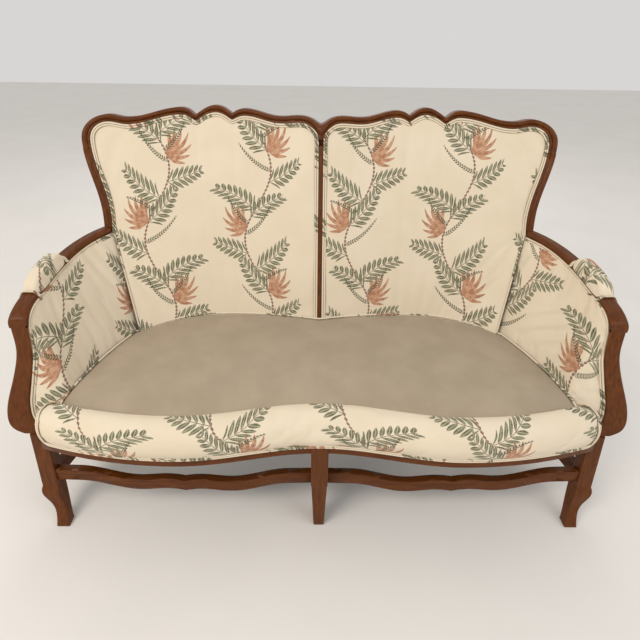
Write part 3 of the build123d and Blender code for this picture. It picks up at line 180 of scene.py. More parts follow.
@dataclass(frozen=True)
class FramePlan:
    """The settee's leading lines, the same as those of its solids."""

    rail_bottom: float = 0.262
    rail_top: float = 0.330
    lip_top: float = 0.284
    lip_step: float = 0.008
    soft_base: float = 0.3334
    deck_z: float = 0.370
    deck_crown_radius: float = 9.0
    deck_crown_y: float = -0.100
    front_centre_y: float = -0.313
    front_bow: float = 0.042
    front_bow_x: float = 0.330
    front_corner_x: float = 0.690
    front_setback: float = 0.068
    front_rail_thick: float = 0.030
    back_centre_y: float = 0.129
    bay_depth: float = 0.040
    bay_x: float = 0.305
    back_rake: float = 0.31
    seam_foot: tuple[float, float] = (0.523, 0.085)
    junction: Triple = (0.617, 0.216, 0.610)
    stile_top: tuple[float, float] = (0.652, 0.838)
    stile_rake: float = 0.243
    stile_straight: float = 0.025
    crest_face: float = 0.014
    cusp_face: float = 0.036
    cusp_flare: float = 0.050
    stile_face: float = 0.024
    show_depth: float = 0.032
    centre_stile_face: float = 0.012
    seam_blend: float = 0.03
    post_seat: Triple = (0.597, 0.130, 0.275)
    post_start_slope: float = 0.55
    crest_points: tuple[tuple[str, float, float], ...] = (
        ("notch", 0.000, 0.880),
        ("round", 0.054, 0.897),
        ("round", 0.113, 0.893),
        ("round", 0.213, 0.909),
        ("notch", 0.246, 0.896),
        ("round", 0.291, 0.916),
        ("notch", 0.346, 0.892),
        ("round", 0.386, 0.910),
        ("round", 0.530, 0.887),
        ("round", 0.582, 0.895),
    )
    arm_start: Triple = (0.6057, 0.222, 0.610)
    arm_middle: Triple = (0.684, 0.075, 0.586)
    arm_end: Triple = (0.704, -0.160, 0.541)
    arm_width: tuple[float, float] = (0.034, 0.044)
    arm_height: float = 0.034
    arm_lip: float = 0.014
    arm_round: float = 0.011
    arm_post_z: tuple[float, ...] = (0.262, 0.272, 0.285, 0.305, 0.335, 0.389, 0.440, 0.4735, 0.507)
    arm_post_front: tuple[float, ...] = (
        -0.252, -0.247, -0.240, -0.230, -0.218, -0.197, -0.178, -0.169, -0.160
    )
    arm_post_inner: tuple[float, ...] = (
        0.666, 0.671, 0.6875, 0.6985, 0.700, 0.690, 0.6815, 0.6815, 0.682
    )
    arm_post_depth: float = 0.044
    deck_side_mid_x: float = 0.584
    deck_side_end: tuple[float, float] = (0.617, -0.215)
    roll_depth: float = 0.057

    def front_line(self, x: Array) -> Array:
        """Return the front rail's face Y: a recess at the centre and a bow on each side."""
        reach = np.abs(x)
        bow_y = self.front_centre_y - self.front_bow
        inner = ease(self.front_centre_y, bow_y, np.minimum(reach / self.front_bow_x, 1))
        past = np.maximum(reach - self.front_bow_x, 0) / (self.front_corner_x - self.front_bow_x)
        return np.where(reach <= self.front_bow_x, inner, bow_y + self.front_setback * past**2)

    def stile_x(self, z: Array) -> Array:
        """Return the outer X of the back stile, swept outwards from the arm to the corner."""
        waist = self.junction[2] + self.stile_straight
        share = np.clip((z - waist) / (self.stile_top[1] - waist), 0, 1)
        return ease(self.junction[0], self.stile_top[0], share)

    def seam(self, z: Array) -> tuple[Array, Array]:
        """Return X and Y of the straight seam between the back and arm panels."""
        share = (z - self.deck_z) / (self.junction[2] - self.deck_z)
        top_x = self.junction[0] - self.stile_face
        return blend(self.seam_foot[0], top_x, share), blend(self.seam_foot[1], self.junction[1], share)

    def stile_y(self, z: Array) -> Array:
        """Return the front Y of the back stile."""
        return self.junction[1] + self.stile_rake * (z - self.junction[2])

    def bay_y(self, z: Array) -> Array:
        """Return the deepest Y of a bay of the raked back."""
        return self.back_centre_y + self.bay_depth + self.back_rake * (z - self.deck_z)

    def wrapped(self, x: Array, z: Array, edge_x: Array, edge_y: Array) -> Array:
        """Return the Y of the back: a parabola in each bay, and one that wraps to its edge."""
        reach = np.abs(x)
        bay = self.bay_y(z)
        inner = bay - self.bay_depth * ((self.bay_x - reach) / self.bay_x) ** 2
        outer = bay - (bay - edge_y) * ((reach - self.bay_x) / (edge_x - self.bay_x)) ** 2
        return np.where(reach <= self.bay_x, inner, outer)

    def frame_face(self, x: Array, z: Array) -> Array:
        """Return the front Y of the moulded frame above the arms."""
        return self.wrapped(x, z, self.stile_x(z), self.stile_y(z))

    def panel_edge(self, z: Array) -> tuple[Array, Array]:
        """Return X and Y of the back panel's outer edge: the seam below, the stile above."""
        seam_x, seam_y = self.seam(z)
        stile_x = self.stile_x(z) - self.stile_face
        stile_y = self.frame_face(stile_x, z)
        share = smooth_step(z, self.junction[2] - self.seam_blend, self.junction[2] + self.seam_blend)
        return np.where(z < self.junction[2], seam_x, stile_x), blend(seam_y, stile_y, share)

    def crest_height(self, x: Array) -> Array:
        """Return the crest's top Z: quarter waves into notches, half waves elsewhere."""
        reach = np.abs(x)
        height = np.full_like(reach, self.crest_points[-1][2], dtype=float)
        for (kind_a, x_a, z_a), (kind_b, x_b, z_b) in zip(self.crest_points, self.crest_points[1:]):
            share = np.clip((reach - x_a) / (x_b - x_a), 0, 1)
            if kind_a == "notch":
                wave = blend(z_a, z_b, np.sin(np.pi / 2 * share))
            elif kind_b == "notch":
                wave = blend(z_b, z_a, np.cos(np.pi / 2 * share))
            else:
                wave = ease(z_a, z_b, share)
            height = np.where((reach >= x_a) & (reach <= x_b), wave, height)
        return height

    def cusp_drop(self, x: Array) -> Array:
        """Return how much further down the crest's face comes where it meets the centre stile."""
        near = np.maximum(0, 1 - np.abs(x) / self.cusp_flare)
        return (self.cusp_face - self.crest_face) * near**2

    def panel_top(self, x: Array, crest_inset: float, stile_inset: float) -> Array:
        """Return the top Z inside the crest, with an elliptic corner that meets the stile."""
        reach = np.abs(x)
        corner_x, corner_z = self.crest_points[-1][1:]
        run = self.stile_top[0] - stile_inset - corner_x
        rise = corner_z - crest_inset - self.stile_top[1]
        past = np.clip((reach - corner_x) / run, 0, 1)
        corner = self.stile_top[1] + rise * np.sqrt(1 - past**2)
        drop = self.cusp_drop(x) if crest_inset >= self.crest_face else 0.0
        return np.where(reach <= corner_x, self.crest_height(reach) - crest_inset - drop, corner)

    def post_edge(self, z: Array) -> tuple[Array, Array]:
        """Return the back post's outer X and front Y from the seat rail to the crest."""
        share = np.clip((z - self.post_seat[2]) / (self.junction[2] - self.post_seat[2]), 0, 1)
        rise = share * (self.post_start_slope + (1 - self.post_start_slope) * share)
        low_x = blend(self.post_seat[0], self.junction[0], rise)
        low_y = blend(self.post_seat[1], self.junction[1], rise)
        above = z >= self.junction[2]
        return np.where(above, self.stile_x(z), low_x), np.where(above, self.stile_y(z), low_y)

    def deck_side(self, share: Array) -> tuple[Array, Array]:
        """Return X and Y of the deck's side edge: a parabola from the seam to the front corner."""
        y = blend(self.seam_foot[1], self.deck_side_end[1], share)
        places = (self.seam_foot[0], self.deck_side_mid_x, self.deck_side_end[0])
        return sum(weight * place for weight, place in zip(parabola_weights(share), places)), y

    def deck_top(self, x: Array, y: Array) -> Array:
        """Return the deck's Z: a shallow dome (a sphere's cap taken as a parabola)."""
        return self.deck_z - (x**2 + (y - self.deck_crown_y) ** 2) / (2 * self.deck_crown_radius)

    def arm_place(self, share: Array) -> Array:
        """Return the arm rail's top centre line: a parabola through its ends and middle."""
        weights = parabola_weights(np.asarray(share, float)[..., None])
        points = (self.arm_start, self.arm_middle, self.arm_end)
        return sum(weight * np.array(point) for weight, point in zip(weights, points))

    def arm_half(self, share: Array) -> Array:
        """Return half the arm rail's width, which grows from the back post to the elbow."""
        return blend(self.arm_width[0], self.arm_width[1], np.asarray(share, float)) / 2

    def arm_out(self, share: Array) -> Array:
        """Return the level unit vectors that point out of the arm rail's side."""
        share = np.asarray(share, float)
        run = self.arm_place(share + 0.01) - self.arm_place(share - 0.01)
        return unit(np.stack([-run[..., 1], run[..., 0], 0 * run[..., 0]], axis=-1))

    def arm_post_face(self, z: Array) -> tuple[Array, Array]:
        """Return the arm post's inner X and front Y at a height."""
        inner = np.interp(z, self.arm_post_z, self.arm_post_inner)
        return inner, np.interp(z, self.arm_post_z, self.arm_post_front)


PLAN = FramePlan()


class Graph:
    """A material's node tree, built with short calls."""

    def __init__(self, name: str) -> None:
        """Start an empty node tree in a new material of that name."""
        self.material = bpy.data.materials.new(name)
        self.material.use_nodes = True
        self.tree = self.material.node_tree
        self.tree.nodes.clear()

    def node(self, kind: str, inputs: dict | None = None, **settings: object) -> bpy.types.Node:
        """Add a node.

        Args:
            kind: The node's type name without its ShaderNode prefix.
            inputs: Socket names or numbers, each with a value or a socket to link from.
            settings: Properties of the node.

        Returns:
            The new node.
        """
        made = self.tree.nodes.new("ShaderNode" + kind)
        for key, value in settings.items():
            setattr(made, key, value)
        for key, value in (inputs or {}).items():
            if isinstance(value, Socket):
                self.tree.links.new(value, made.inputs[key])
            else:
                made.inputs[key].default_value = value
        return made

    def math(self, operation: str, first: object, second: object = 0.0) -> Socket:
        """Return the result of a Math node on two values or sockets."""
        return self.node("Math", {0: first, 1: second}, operation=operation).outputs[0]

    def plus(self, first: object, second: object) -> Socket:
        """Return a sum."""
        return self.math("ADD", first, second)

    def minus(self, first: object, second: object) -> Socket:
        """Return a difference."""
        return self.math("SUBTRACT", first, second)

    def times(self, first: object, second: object) -> Socket:
        """Return a product."""
        return self.math("MULTIPLY", first, second)

    def size(self, value: object) -> Socket:
        """Return a value without its sign."""
        return self.math("ABSOLUTE", value)

    def wave(self, place: object, length: float) -> Socket:
        """Return a sine of a place, with one wave in a length."""
        return self.math("SINE", self.times(place, 2 * math.pi / length))

    def weave(self, place: object, thread: float) -> Socket:
        """Return the height of crossed threads at a place on the flat cloth."""
        parts = self.node("SeparateXYZ", {0: place}).outputs
        return self.times(self.wave(parts[0], thread), self.wave(parts[1], thread))

    def wrap(self, value: object, half: float) -> Socket:
        """Return a value brought into the range from -half to half by whole ranges."""
        return self.node("Math", {0: value, 1: half, 2: -half}, operation="WRAP").outputs[0]

    def span(
        self, value: object, low: float, high: float, to_low: float = 0.0, to_high: float = 1.0
    ) -> Socket:
        """Return value mapped from low..high to another range on a smooth step."""
        places = {0: value, 1: low, 2: high, 3: to_low, 4: to_high}
        return self.node("MapRange", places, interpolation_type="SMOOTHSTEP").outputs[0]

    def mix(self, share: object, first: object, second: object) -> Socket:
        """Return two colours mixed by a share."""
        made = self.node("Mix", {"Factor": share}, data_type="RGBA")
        for socket, value in ((made.inputs[6], first), (made.inputs[7], second)):
            if isinstance(value, Socket):
                self.tree.links.new(value, socket)
            else:
                socket.default_value = (*value, 1.0)
        return made.outputs[2]

    def noise(self, place: object, scale: float, detail: float = 3.0, rough: float = 0.5) -> Socket:
        """Return fractal noise at a place."""
        inputs = {"Vector": place, "Scale": scale, "Detail": detail, "Roughness": rough}
        return self.node("TexNoise", inputs).outputs["Fac"]

    def attribute(self, name: str, output: str = "Fac") -> Socket:
        """Return a vertex attribute of the piece."""
        return self.node("Attribute", attribute_name=name).outputs[output]

    def bump(self, height: object, strength: float, distance: float, under: object = None) -> Socket:
        """Return normals roughened by a height, over those of another bump if given."""
        inputs = {"Height": height, "Strength": strength, "Distance": distance}
        if under is not None:
            inputs["Normal"] = under
        return self.node("Bump", inputs).outputs[0]

    def surface(self, **inputs: object) -> bpy.types.Material:
        """Close the tree with a Principled surface and return the material."""
        named = {key.replace("_", " "): value for key, value in inputs.items()}
        shader = self.node("BsdfPrincipled", named)
        self.node("OutputMaterial", {"Surface": shader.outputs[0]})
        return self.material


def opaque(colour: Triple) -> tuple[float, float, float, float]:
    """Return a colour with full alpha."""
    return (*colour, 1.0)


@dataclass(frozen=True)
class VarnishedWood:
    """Stained fruitwood under a satin varnish, with grain on Object coordinates."""

    name: str = "varnished_wood"
    dark: Triple = (0.052, 0.0125, 0.0016)
    middle: Triple = (0.108, 0.029, 0.0033)
    light: Triple = (0.182, 0.054, 0.0070)
    grain: Grain = Grain.ALONG_X
    coat: float = 0.06
    roughness: float = 0.38
    gloss: float = 0.20

    def material(self) -> bpy.types.Material:
        """Return the material: long streaks, pores, uneven stain and a varnish coat."""
        graph = Graph(f"{self.name}_{self.grain.name.lower()}")
        place = graph.node("TexCoord").outputs["Object"]
        fibre = graph.node("Mapping", {"Vector": place, "Scale": self.grain.value}).outputs[0]
        wander = {0: graph.noise(place, 3.0, 1.0), 3: 0.02}
        drift = graph.node("VectorMath", wander, operation="SCALE").outputs[0]
        bent = graph.node("VectorMath", {0: fibre, 1: drift}, operation="ADD").outputs[0]
        streak = graph.noise(bent, 130.0, 5.0, 0.6)
        pore = graph.noise(fibre, 900.0, 2.0, 0.6)
        cloud = graph.noise(place, 6.0, 3.0)
        stain = graph.mix(graph.span(streak, 0.30, 0.70), self.dark, self.light)
        stain = graph.mix(graph.span(cloud, 0.30, 0.70, 0.40, 0.75), stain, self.middle)
        pores = graph.span(pore, 0.58, 0.72)
        colour = graph.mix(graph.times(pores, 0.45), stain, self.dark)
        sheen = graph.span(cloud, 0.25, 0.75, self.roughness - 0.06, self.roughness + 0.10)
        normal = graph.bump(pore, 0.10, 0.0003)
        normal = graph.bump(streak, 0.08, 0.0006, normal)
        return graph.surface(
            Base_Color=colour,
            Roughness=sheen,
            Normal=normal,
            Coat_Weight=self.coat,
            Coat_Roughness=0.20,
            Specular_IOR_Level=self.gloss,
        )


@dataclass(frozen=True)
class Motif:
    """A motif of the print: where it starts in a column, where it points and how it bends."""

    base: tuple[float, float]
    angle: float
    bend: float = 0.0
    length: float = 0.092
    reach: float = 0.026
    pitch: float = 0.0165
    breadth: float = 0.0066


@dataclass(frozen=True)
class SprigPrint:
    """A generic sprig print: a beaded stem to each column, in a half-drop layout.

    Sprigs of paired oval leaves, sprays of seeds and fan-shaped blooms grow from the stem.
    """

    column: float = 0.295
    repeat: float = 0.400
    sway: float = 0.040
    sprigs: tuple[Motif, ...] = (
        Motif((0.009, 0.015), 2.70, -2.5, 0.118, 0.034),
        Motif((0.032, 0.060), 0.25, 0.6, 0.102, 0.030),
        Motif((0.021, 0.165), 2.35, 2.0, 0.110, 0.031),
        Motif((0.009, 0.185), 0.78, -2.6, 0.125, 0.034),
        Motif((-0.034, 0.265), 2.80, -2.5, 0.098, 0.029),
        Motif((-0.028, 0.350), 0.60, 2.2, 0.118, 0.033),
    )
    sprays: tuple[Motif, ...] = (
        Motif((0.036, 0.118), 2.70, -4.0, 0.100, 0.0068, 0.0070, 0.0023),
        Motif((-0.039, 0.296), 0.25, 4.0, 0.105, 0.0068, 0.0070, 0.0023),
        Motif((0.030, 0.148), 0.62, 3.0, 0.090, 0.0068, 0.0070, 0.0023),
        Motif((-0.012, 0.382), 2.40, 3.0, 0.080, 0.0068, 0.0070, 0.0023),
    )
    blooms: tuple[Motif, ...] = (
        Motif((0.031, 0.140), -0.10, 9.0, 0.086, 0.0062, 0.32),
        Motif((-0.026, 0.355), 3.05, -9.0, 0.086, 0.0062, 0.32),
    )
    bloom_petals: int = 7
    petal_taper: float = 0.024
    leaf_slant: float = 0.85
    leaf_taper: float = 0.62
    bead: float = 0.0105
    edge: float = 0.0006

    def place(self, graph: Graph) -> tuple[Socket, Socket]:
        """Return a point's place in its column: across the stem and along the repeat.

        Every second column is turned over left to right and moved by half a repeat.
        """
        parts = graph.node("SeparateXYZ", {0: graph.attribute("flat", "Vector")}).outputs
        number = graph.math("FLOOR", graph.math("DIVIDE", parts[0], self.column))
        odd = graph.math("FLOORED_MODULO", number, 2.0)
        middle = graph.times(graph.plus(number, 0.5), self.column)
        turn = graph.minus(1.0, graph.times(odd, 2.0))
        x = graph.times(graph.minus(parts[0], middle), turn)
        y = graph.plus(parts[1], graph.times(odd, self.repeat / 2))
        return x, y

    def local(self, graph: Graph, x: object, y: object, motif: Motif) -> tuple[Socket, Socket]:
        """Return a point's place on a motif: along its axis and across it, unbent."""
        dx = graph.minus(x, motif.base[0])
        dy = graph.wrap(graph.minus(y, motif.base[1]), self.repeat / 2)
        cosine, sine = math.cos(motif.angle), math.sin(motif.angle)
        along = graph.plus(graph.times(dx, cosine), graph.times(dy, sine))
        across = graph.minus(graph.times(dy, cosine), graph.times(dx, sine))
        return along, across

    def blade(
        self, graph: Graph, off: object, share: object, power: float, breadth: float
    ) -> tuple[Socket, Socket]:
        """Return a leaf's or petal's half-width and the mask of what lies within it.

        Args:
            graph: The tree to work in.
            off: The distance from the blade's middle line.
            share: The share of the blade's length, 0 at its foot and 1 at its tip.
            power: The power of the half-wave sin(pi share), lower for a fuller blade.
            breadth: The largest half-width.

        Returns:
            The half-width at that share, and the mask.
        """
        arch = graph.math("SINE", graph.times(share, math.pi))
        half = graph.times(graph.math("POWER", graph.math("MAXIMUM", arch, 0.0), power), breadth)
        return half, graph.span(graph.minus(off, half), self.edge, -self.edge)

    def within(self, graph: Graph, mask: Socket, *limits: tuple[object, object]) -> Socket:
        """Return a mask kept only where each pair's first value is below its second."""
        for low, high in limits:
            mask = graph.times(mask, graph.math("LESS_THAN", low, high))
        return mask

    def leaves(self, graph: Graph, x: object, y: object, motif: Motif) -> tuple[Socket, ...]:
        """Return masks of a sprig's leaves, of their ribs and of its stalk.

        A leaf lies where the slanted place along the stalk, u - 0.85 |v|, is near the middle
        of its pitch, by less than a half-width that is a power of sin(pi |v| / reach).
        """
        along, across = self.local(graph, x, y, motif)
        across = graph.minus(across, graph.times(graph.times(along, along), motif.bend))
        height = graph.size(across)
        slant = graph.minus(along, graph.times(height, self.leaf_slant))
        share = graph.math("DIVIDE", slant, motif.length)
        swell = graph.minus(1.0, graph.times(graph.times(share, share), self.leaf_taper))
        reach = graph.times(swell, motif.reach)
        off = graph.size(graph.wrap(slant, motif.pitch / 2))
        _, inside = self.blade(graph, off, graph.math("DIVIDE", height, reach), 0.75, motif.breadth)
        inside = self.within(graph, inside, (height, reach), (0.0, slant), (slant, motif.length))
        hatch = graph.wrap(graph.plus(height, graph.times(off, 0.8)), 0.0021)
        veins = graph.span(graph.size(hatch), 0.0006, 0.0001, 0.0, 0.6)
        rib = graph.math("MAXIMUM", graph.span(off, 0.0012, 0.0004), veins)
        stalk = graph.span(height, 0.0010, 0.0004)
        return inside, rib, self.within(graph, stalk, (0.0, along), (along, motif.length))

    def bloom(self, graph: Graph, x: object, y: object, motif: Motif) -> tuple[Socket, ...]:
        """Return masks of a bloom's petals and of their ribs, in swept polar coordinates."""
        along, across = self.local(graph, x, y, motif)
        square = graph.plus(graph.times(along, along), graph.times(across, across))
        radius = graph.math("SQRT", square)
        turn = graph.minus(graph.math("ARCTAN2", across, along), graph.times(radius, motif.bend))
        fan = graph.size(turn)
        off = graph.times(graph.size(graph.wrap(turn, motif.pitch / 2)), radius)
        length = graph.minus(motif.length, graph.times(fan, self.petal_taper))
        half, inside = self.blade(graph, off, graph.math("DIVIDE", radius, length), 0.7, motif.reach)
        widest = self.bloom_petals * motif.pitch / 2
        inside = self.within(graph, inside, (radius, length), (fan, widest))
        edge = graph.span(graph.minus(half, off), 0.0018, 0.0006)
        rib = graph.math("MAXIMUM", graph.span(off, 0.0011, 0.0004), edge)
        return inside, rib

    def stem(self, graph: Graph, x: object, y: object) -> Socket:
        """Return the mask of the beaded stem, one sine wave in a repeat."""
        sway = graph.times(graph.wave(y, self.repeat), self.sway)
        off = graph.size(graph.minus(x, sway))
        width = graph.plus(graph.times(graph.wave(y, self.bead), 0.0013), 0.0022)
        return graph.span(graph.minus(off, width), self.edge, -self.edge)


@dataclass(frozen=True)
class PrintedCloth:
    """Cream cotton with a printed sprig design, worked out on the flat cloth coordinates."""

    name: str = "printed_cloth"
    ground: Triple = (0.775, 0.672, 0.515)
    shade: Triple = (0.745, 0.640, 0.480)
    leaf: Triple = (0.185, 0.200, 0.110)
    leaf_dark: Triple = (0.070, 0.076, 0.040)
    petal: Triple = (0.610, 0.365, 0.225)
    petal_dark: Triple = (0.390, 0.175, 0.095)
    stem: Triple = (0.165, 0.045, 0.035)
    # Colour of the painted shade that stands in for the shadow in the welts' grooves.
    painted_groove_shade: Triple = (0.170, 0.112, 0.064)
    thread: float = 0.0013

    def material(self) -> bpy.types.Material:
        """Return the material: ground, blooms, sprigs, sprays, stem, painted groove shade and weave."""
        graph = Graph(self.name)
        flat = graph.attribute("flat", "Vector")
        cloud = graph.noise(flat, 9.0, 3.0)
        slub = graph.noise(flat, 900.0, 2.0)
        ink = graph.noise(flat, 85.0, 2.0)
        colour = graph.mix(graph.span(cloud, 0.35, 0.65), self.ground, self.shade)
        design = SprigPrint()
        x, y = design.place(graph)
        colour = graph.mix(graph.times(design.stem(graph, x, y), 0.85), colour, self.stem)
        petals = graph.mix(graph.span(ink, 0.35, 0.65), self.petal, self.petal_dark)
        for motif in design.blooms:
            inside, rib = design.bloom(graph, x, y, motif)
            tone = graph.mix(graph.times(rib, 0.75), petals, self.petal_dark)
            colour = graph.mix(inside, colour, tone)
        leaves = graph.mix(graph.span(ink, 0.32, 0.68), self.leaf, self.leaf_dark)
        for motif in design.sprigs:
            inside, rib, stalk = design.leaves(graph, x, y, motif)
            tone = graph.mix(graph.times(rib, 0.55), leaves, self.ground)
            colour = graph.mix(inside, colour, tone)
            colour = graph.mix(stalk, colour, self.leaf_dark)
        for motif in design.sprays:
            inside, _, stalk = design.leaves(graph, x, y, motif)
            seeds = graph.math("MAXIMUM", inside, graph.times(stalk, 0.5))
            colour = graph.mix(seeds, colour, self.leaf_dark)
        faded = graph.mix(graph.span(slub, 0.45, 0.75, 0.0, 0.18), colour, self.ground)
        # Painted shade: a welt's third cloth coordinate pulls the print towards the groove colour on its
        # cords' sides, in place of the shadow there.
        painted_shade_share = graph.node("SeparateXYZ", {0: flat}).outputs[2]
        faded = graph.mix(graph.times(painted_shade_share, 0.95), faded, self.painted_groove_shade)
        weave = graph.weave(flat, self.thread)
        normal = graph.bump(weave, 0.20, 0.0003)
        normal = graph.bump(slub, 0.15, 0.0006, normal)
        return graph.surface(
            Base_Color=faded, Roughness=0.86, Normal=normal, Sheen_Weight=0.12, Specular_IOR_Level=0.25
        )


@dataclass(frozen=True)
class PlainCloth:
    """A plain woven cloth with a visible thread and uneven tone."""

    name: str
    colour: Triple
    shade: Triple
    thread: float = 0.0018
    roughness: float = 0.9

    def material(self) -> bpy.types.Material:
        """Return the material: crossed threads, slubs and soft blotches."""
        graph = Graph(self.name)
        flat = graph.attribute("flat", "Vector")
        cloud = graph.noise(flat, 10.0, 4.0)
        stretched = graph.node("Mapping", {"Vector": flat, "Scale": (1.0, 0.12, 1.0)}).outputs[0]
        slub = graph.noise(stretched, 700.0, 2.0)
        weave = graph.weave(flat, self.thread)
        tone = graph.mix(graph.span(cloud, 0.30, 0.70), self.colour, self.shade)
        tone = graph.mix(graph.span(slub, 0.40, 0.80, 0.0, 0.45), tone, self.shade)
        tone = graph.mix(graph.span(weave, -0.2, 0.9, 0.0, 0.18), tone, self.shade)
        normal = graph.bump(weave, 0.35, 0.0005)
        normal = graph.bump(slub, 0.20, 0.0008, normal)
        return graph.surface(
            Base_Color=tone, Roughness=self.roughness, Normal=normal, Sheen_Weight=0.1, Specular_IOR_Level=0.2
        )


@dataclass(frozen=True)
class PlatedSteel:
    """Bright plated steel with fine scratches."""

    name: str = "plated_steel"
    colour: Triple = (0.55, 0.55, 0.56)

    def material(self) -> bpy.types.Material:
        """Return the material: metal whose roughness varies in fine scratches."""
        graph = Graph(self.name)
        place = graph.node("TexCoord").outputs["Object"]
        drawn = graph.node("Mapping", {"Vector": place, "Scale": (1.0, 0.06, 1.0)}).outputs[0]
        scratch = graph.noise(drawn, 1500.0, 2.0)
        rough = graph.span(scratch, 0.3, 0.7, 0.28, 0.46)
        normal = graph.bump(scratch, 0.08, 0.0002)
        return graph.surface(Base_Color=opaque(self.colour), Metallic=1.0, Roughness=rough, Normal=normal)


class Workshop:
    """Makes objects from arrays, stuffs and dresses them, and puts them on the frame."""

    stuffing_frames = 16

    def __init__(self) -> None:
        """Make each finish once."""
        self.printed = PrintedCloth().material()
        self.deck = PlainCloth("deck_cloth", (0.440, 0.360, 0.262), (0.385, 0.312, 0.222)).material()
        self.lining = PlainCloth("lining", (0.030, 0.030, 0.032), (0.018, 0.018, 0.019), 0.0011).material()
        self.jute = PlainCloth("jute", (0.420, 0.300, 0.165), (0.280, 0.190, 0.100), 0.0030).material()
        self.steel = PlatedSteel().material()
        self.show_wood = {grain: VarnishedWood(grain=grain).material() for grain in Grain}
        plain = {"dark": (0.36, 0.24, 0.14), "middle": (0.48, 0.34, 0.21), "light": (0.58, 0.43, 0.28)}
        self.frame_wood = {
            grain: VarnishedWood("plain_beech", grain=grain, coat=0.0, roughness=0.62, **plain).material()
            for grain in Grain
        }

    def mesh_object(self, name: str, points: Array, quads: Array, flat: Array) -> bpy.types.Object:
        """Make a closed mesh object with its cloth coordinates.

        Args:
            name: The piece's name.
            points: Vertices shaped (n, 3).
            quads: Faces shaped (m, 4).
            flat: Cloth coordinates in metres shaped (n, 2), or (n, 3) with a share of painted groove shade
                last.

        Returns:
            The new object, with doubled vertices merged and faces turned outwards.
        """
        mesh = bpy.data.meshes.new(name)
        mesh.from_pydata(points.tolist(), [], quads.tolist())
        layer = mesh.attributes.new("flat", "FLOAT_VECTOR", "POINT")
        cloth = flat if flat.shape[1] == 3 else np.column_stack([flat, 0 * flat[:, :1]])
        layer.data.foreach_set("vector", cloth.astype(np.float32).ravel())
        shell = bmesh.new()
        shell.from_mesh(mesh)
        bmesh.ops.remove_doubles(shell, verts=shell.verts, dist=2e-6)
        bmesh.ops.recalc_face_normals(shell, faces=shell.faces)
        shell.to_mesh(mesh)
        shell.free()
        mesh.shade_smooth()
        made = bpy.data.objects.new(name, mesh)
        bpy.context.scene.collection.objects.link(made)
        return made

    def stuff(
        self, piece: bpy.types.Object, pinned: Array, pressure: float, cap: float, slack: float = 0.0
    ) -> None:
        """Swell a piece with a short cloth simulation and write the result to its mesh.

        Args:
            piece: An object whose mesh is the cloth at rest.
            pinned: A flag per vertex: True where the cloth is tacked down.
            pressure: The stuffing's push.
            cap: The most that a point moves, in metres, reached on a tanh curve.
            slack: The share by which the cloth is cut larger than its rest shape.
        """
        group = piece.vertex_groups.new(name="tacked")
        group.add(np.flatnonzero(pinned).tolist(), 1.0, "REPLACE")
        cloth = piece.modifiers.new("stuffing", "CLOTH")
        cloth.settings.quality = 5
        cloth.settings.mass = 0.25
        cloth.settings.tension_stiffness = 18
        cloth.settings.compression_stiffness = 12
        cloth.settings.shear_stiffness = 6
        cloth.settings.bending_stiffness = 0.6
        cloth.settings.use_pressure = True
        cloth.settings.uniform_pressure_force = pressure
        cloth.settings.vertex_group_mass = group.name
        cloth.settings.shrink_min = -slack
        cloth.settings.effector_weights.gravity = 0
        cloth.collision_settings.use_collision = False
        cloth.point_cache.frame_start = 1
        cloth.point_cache.frame_end = self.stuffing_frames
        scene = bpy.context.scene
        for number in range(1, self.stuffing_frames + 1):
            scene.frame_set(number)
        rest = vertex_values(piece.data)
        stuffed = vertex_values(piece.evaluated_get(bpy.context.evaluated_depsgraph_get()).data)
        move = (stuffed - rest).astype(float)
        length = np.linalg.norm(move, axis=1, keepdims=True)
        move *= cap * np.tanh(length / cap) / np.maximum(length, 1e-9)
        piece.modifiers.remove(cloth)
        piece.vertex_groups.remove(group)
        piece.data.vertices.foreach_set("co", (rest + move).astype(np.float32).ravel())
        piece.data.update()
        scene.frame_set(1)

    def bake(self, piece: bpy.types.Object, modifier: bpy.types.Modifier) -> None:
        """Replace a piece's mesh by what its one modifier makes of it."""
        made = piece.evaluated_get(bpy.context.evaluated_depsgraph_get())
        mesh = bpy.data.meshes.new_from_object(made)
        piece.modifiers.remove(modifier)
        old = piece.data
        piece.data = mesh
        bpy.data.meshes.remove(old)
        mesh.name = piece.name

    def refine(self, piece: bpy.types.Object) -> None:
        """Replace a piece's mesh by its form subdivided once."""
        finer = piece.modifiers.new("finer", "SUBSURF")
        finer.levels = finer.render_levels = 1
        self.bake(piece, finer)
        piece.data.shade_smooth()

    def dress(self, piece: bpy.types.Object, finish: bpy.types.Material, slot: str, *nodes: str) -> None:
        """Give a piece its finish, ride it on the frame and hide the nodes it stands for."""
        piece.data.materials.clear()
        piece.data.materials.append(finish)
        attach(piece, BODY)
        if nodes:
            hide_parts(*nodes)
        LOG.info("%s: %d faces", piece.name, len(piece.data.polygons))

    def smooth_copy(self, node: str, name: str, finish: bpy.types.Material, slot: str) -> bpy.types.Object:
        """Show a CAD node as a merged copy, smooth across blunt edges, with evened normals.

        Edges of under SHARP_DEGREES are shaded smooth, with normals weighted by face area.

        Args:
            node: The CAD node's name.
            name: The piece's name.
            finish: Its material.
            slot: The name of a material slot; not used.

        Returns:
            The new piece, whose cloth coordinates are its places.
        """
        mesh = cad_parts[node].data.copy()
        shell = bmesh.new()
        shell.from_mesh(mesh)
        bmesh.ops.remove_doubles(shell, verts=shell.verts, dist=1e-5)
        shell.to_mesh(mesh)
        shell.free()
        mesh.shade_smooth()
        mesh.set_sharp_from_angle(angle=math.radians(SHARP_DEGREES))
        layer = mesh.attributes.new("flat", "FLOAT_VECTOR", "POINT")
        layer.data.foreach_set("vector", vertex_values(mesh).ravel())
        piece = bpy.data.objects.new(name, mesh)
        bpy.context.scene.collection.objects.link(piece)
        evened = piece.modifiers.new("evened", "WEIGHTED_NORMAL")
        evened.keep_sharp = True
        self.bake(piece, evened)
        self.dress(piece, finish, slot, node)
        return piece


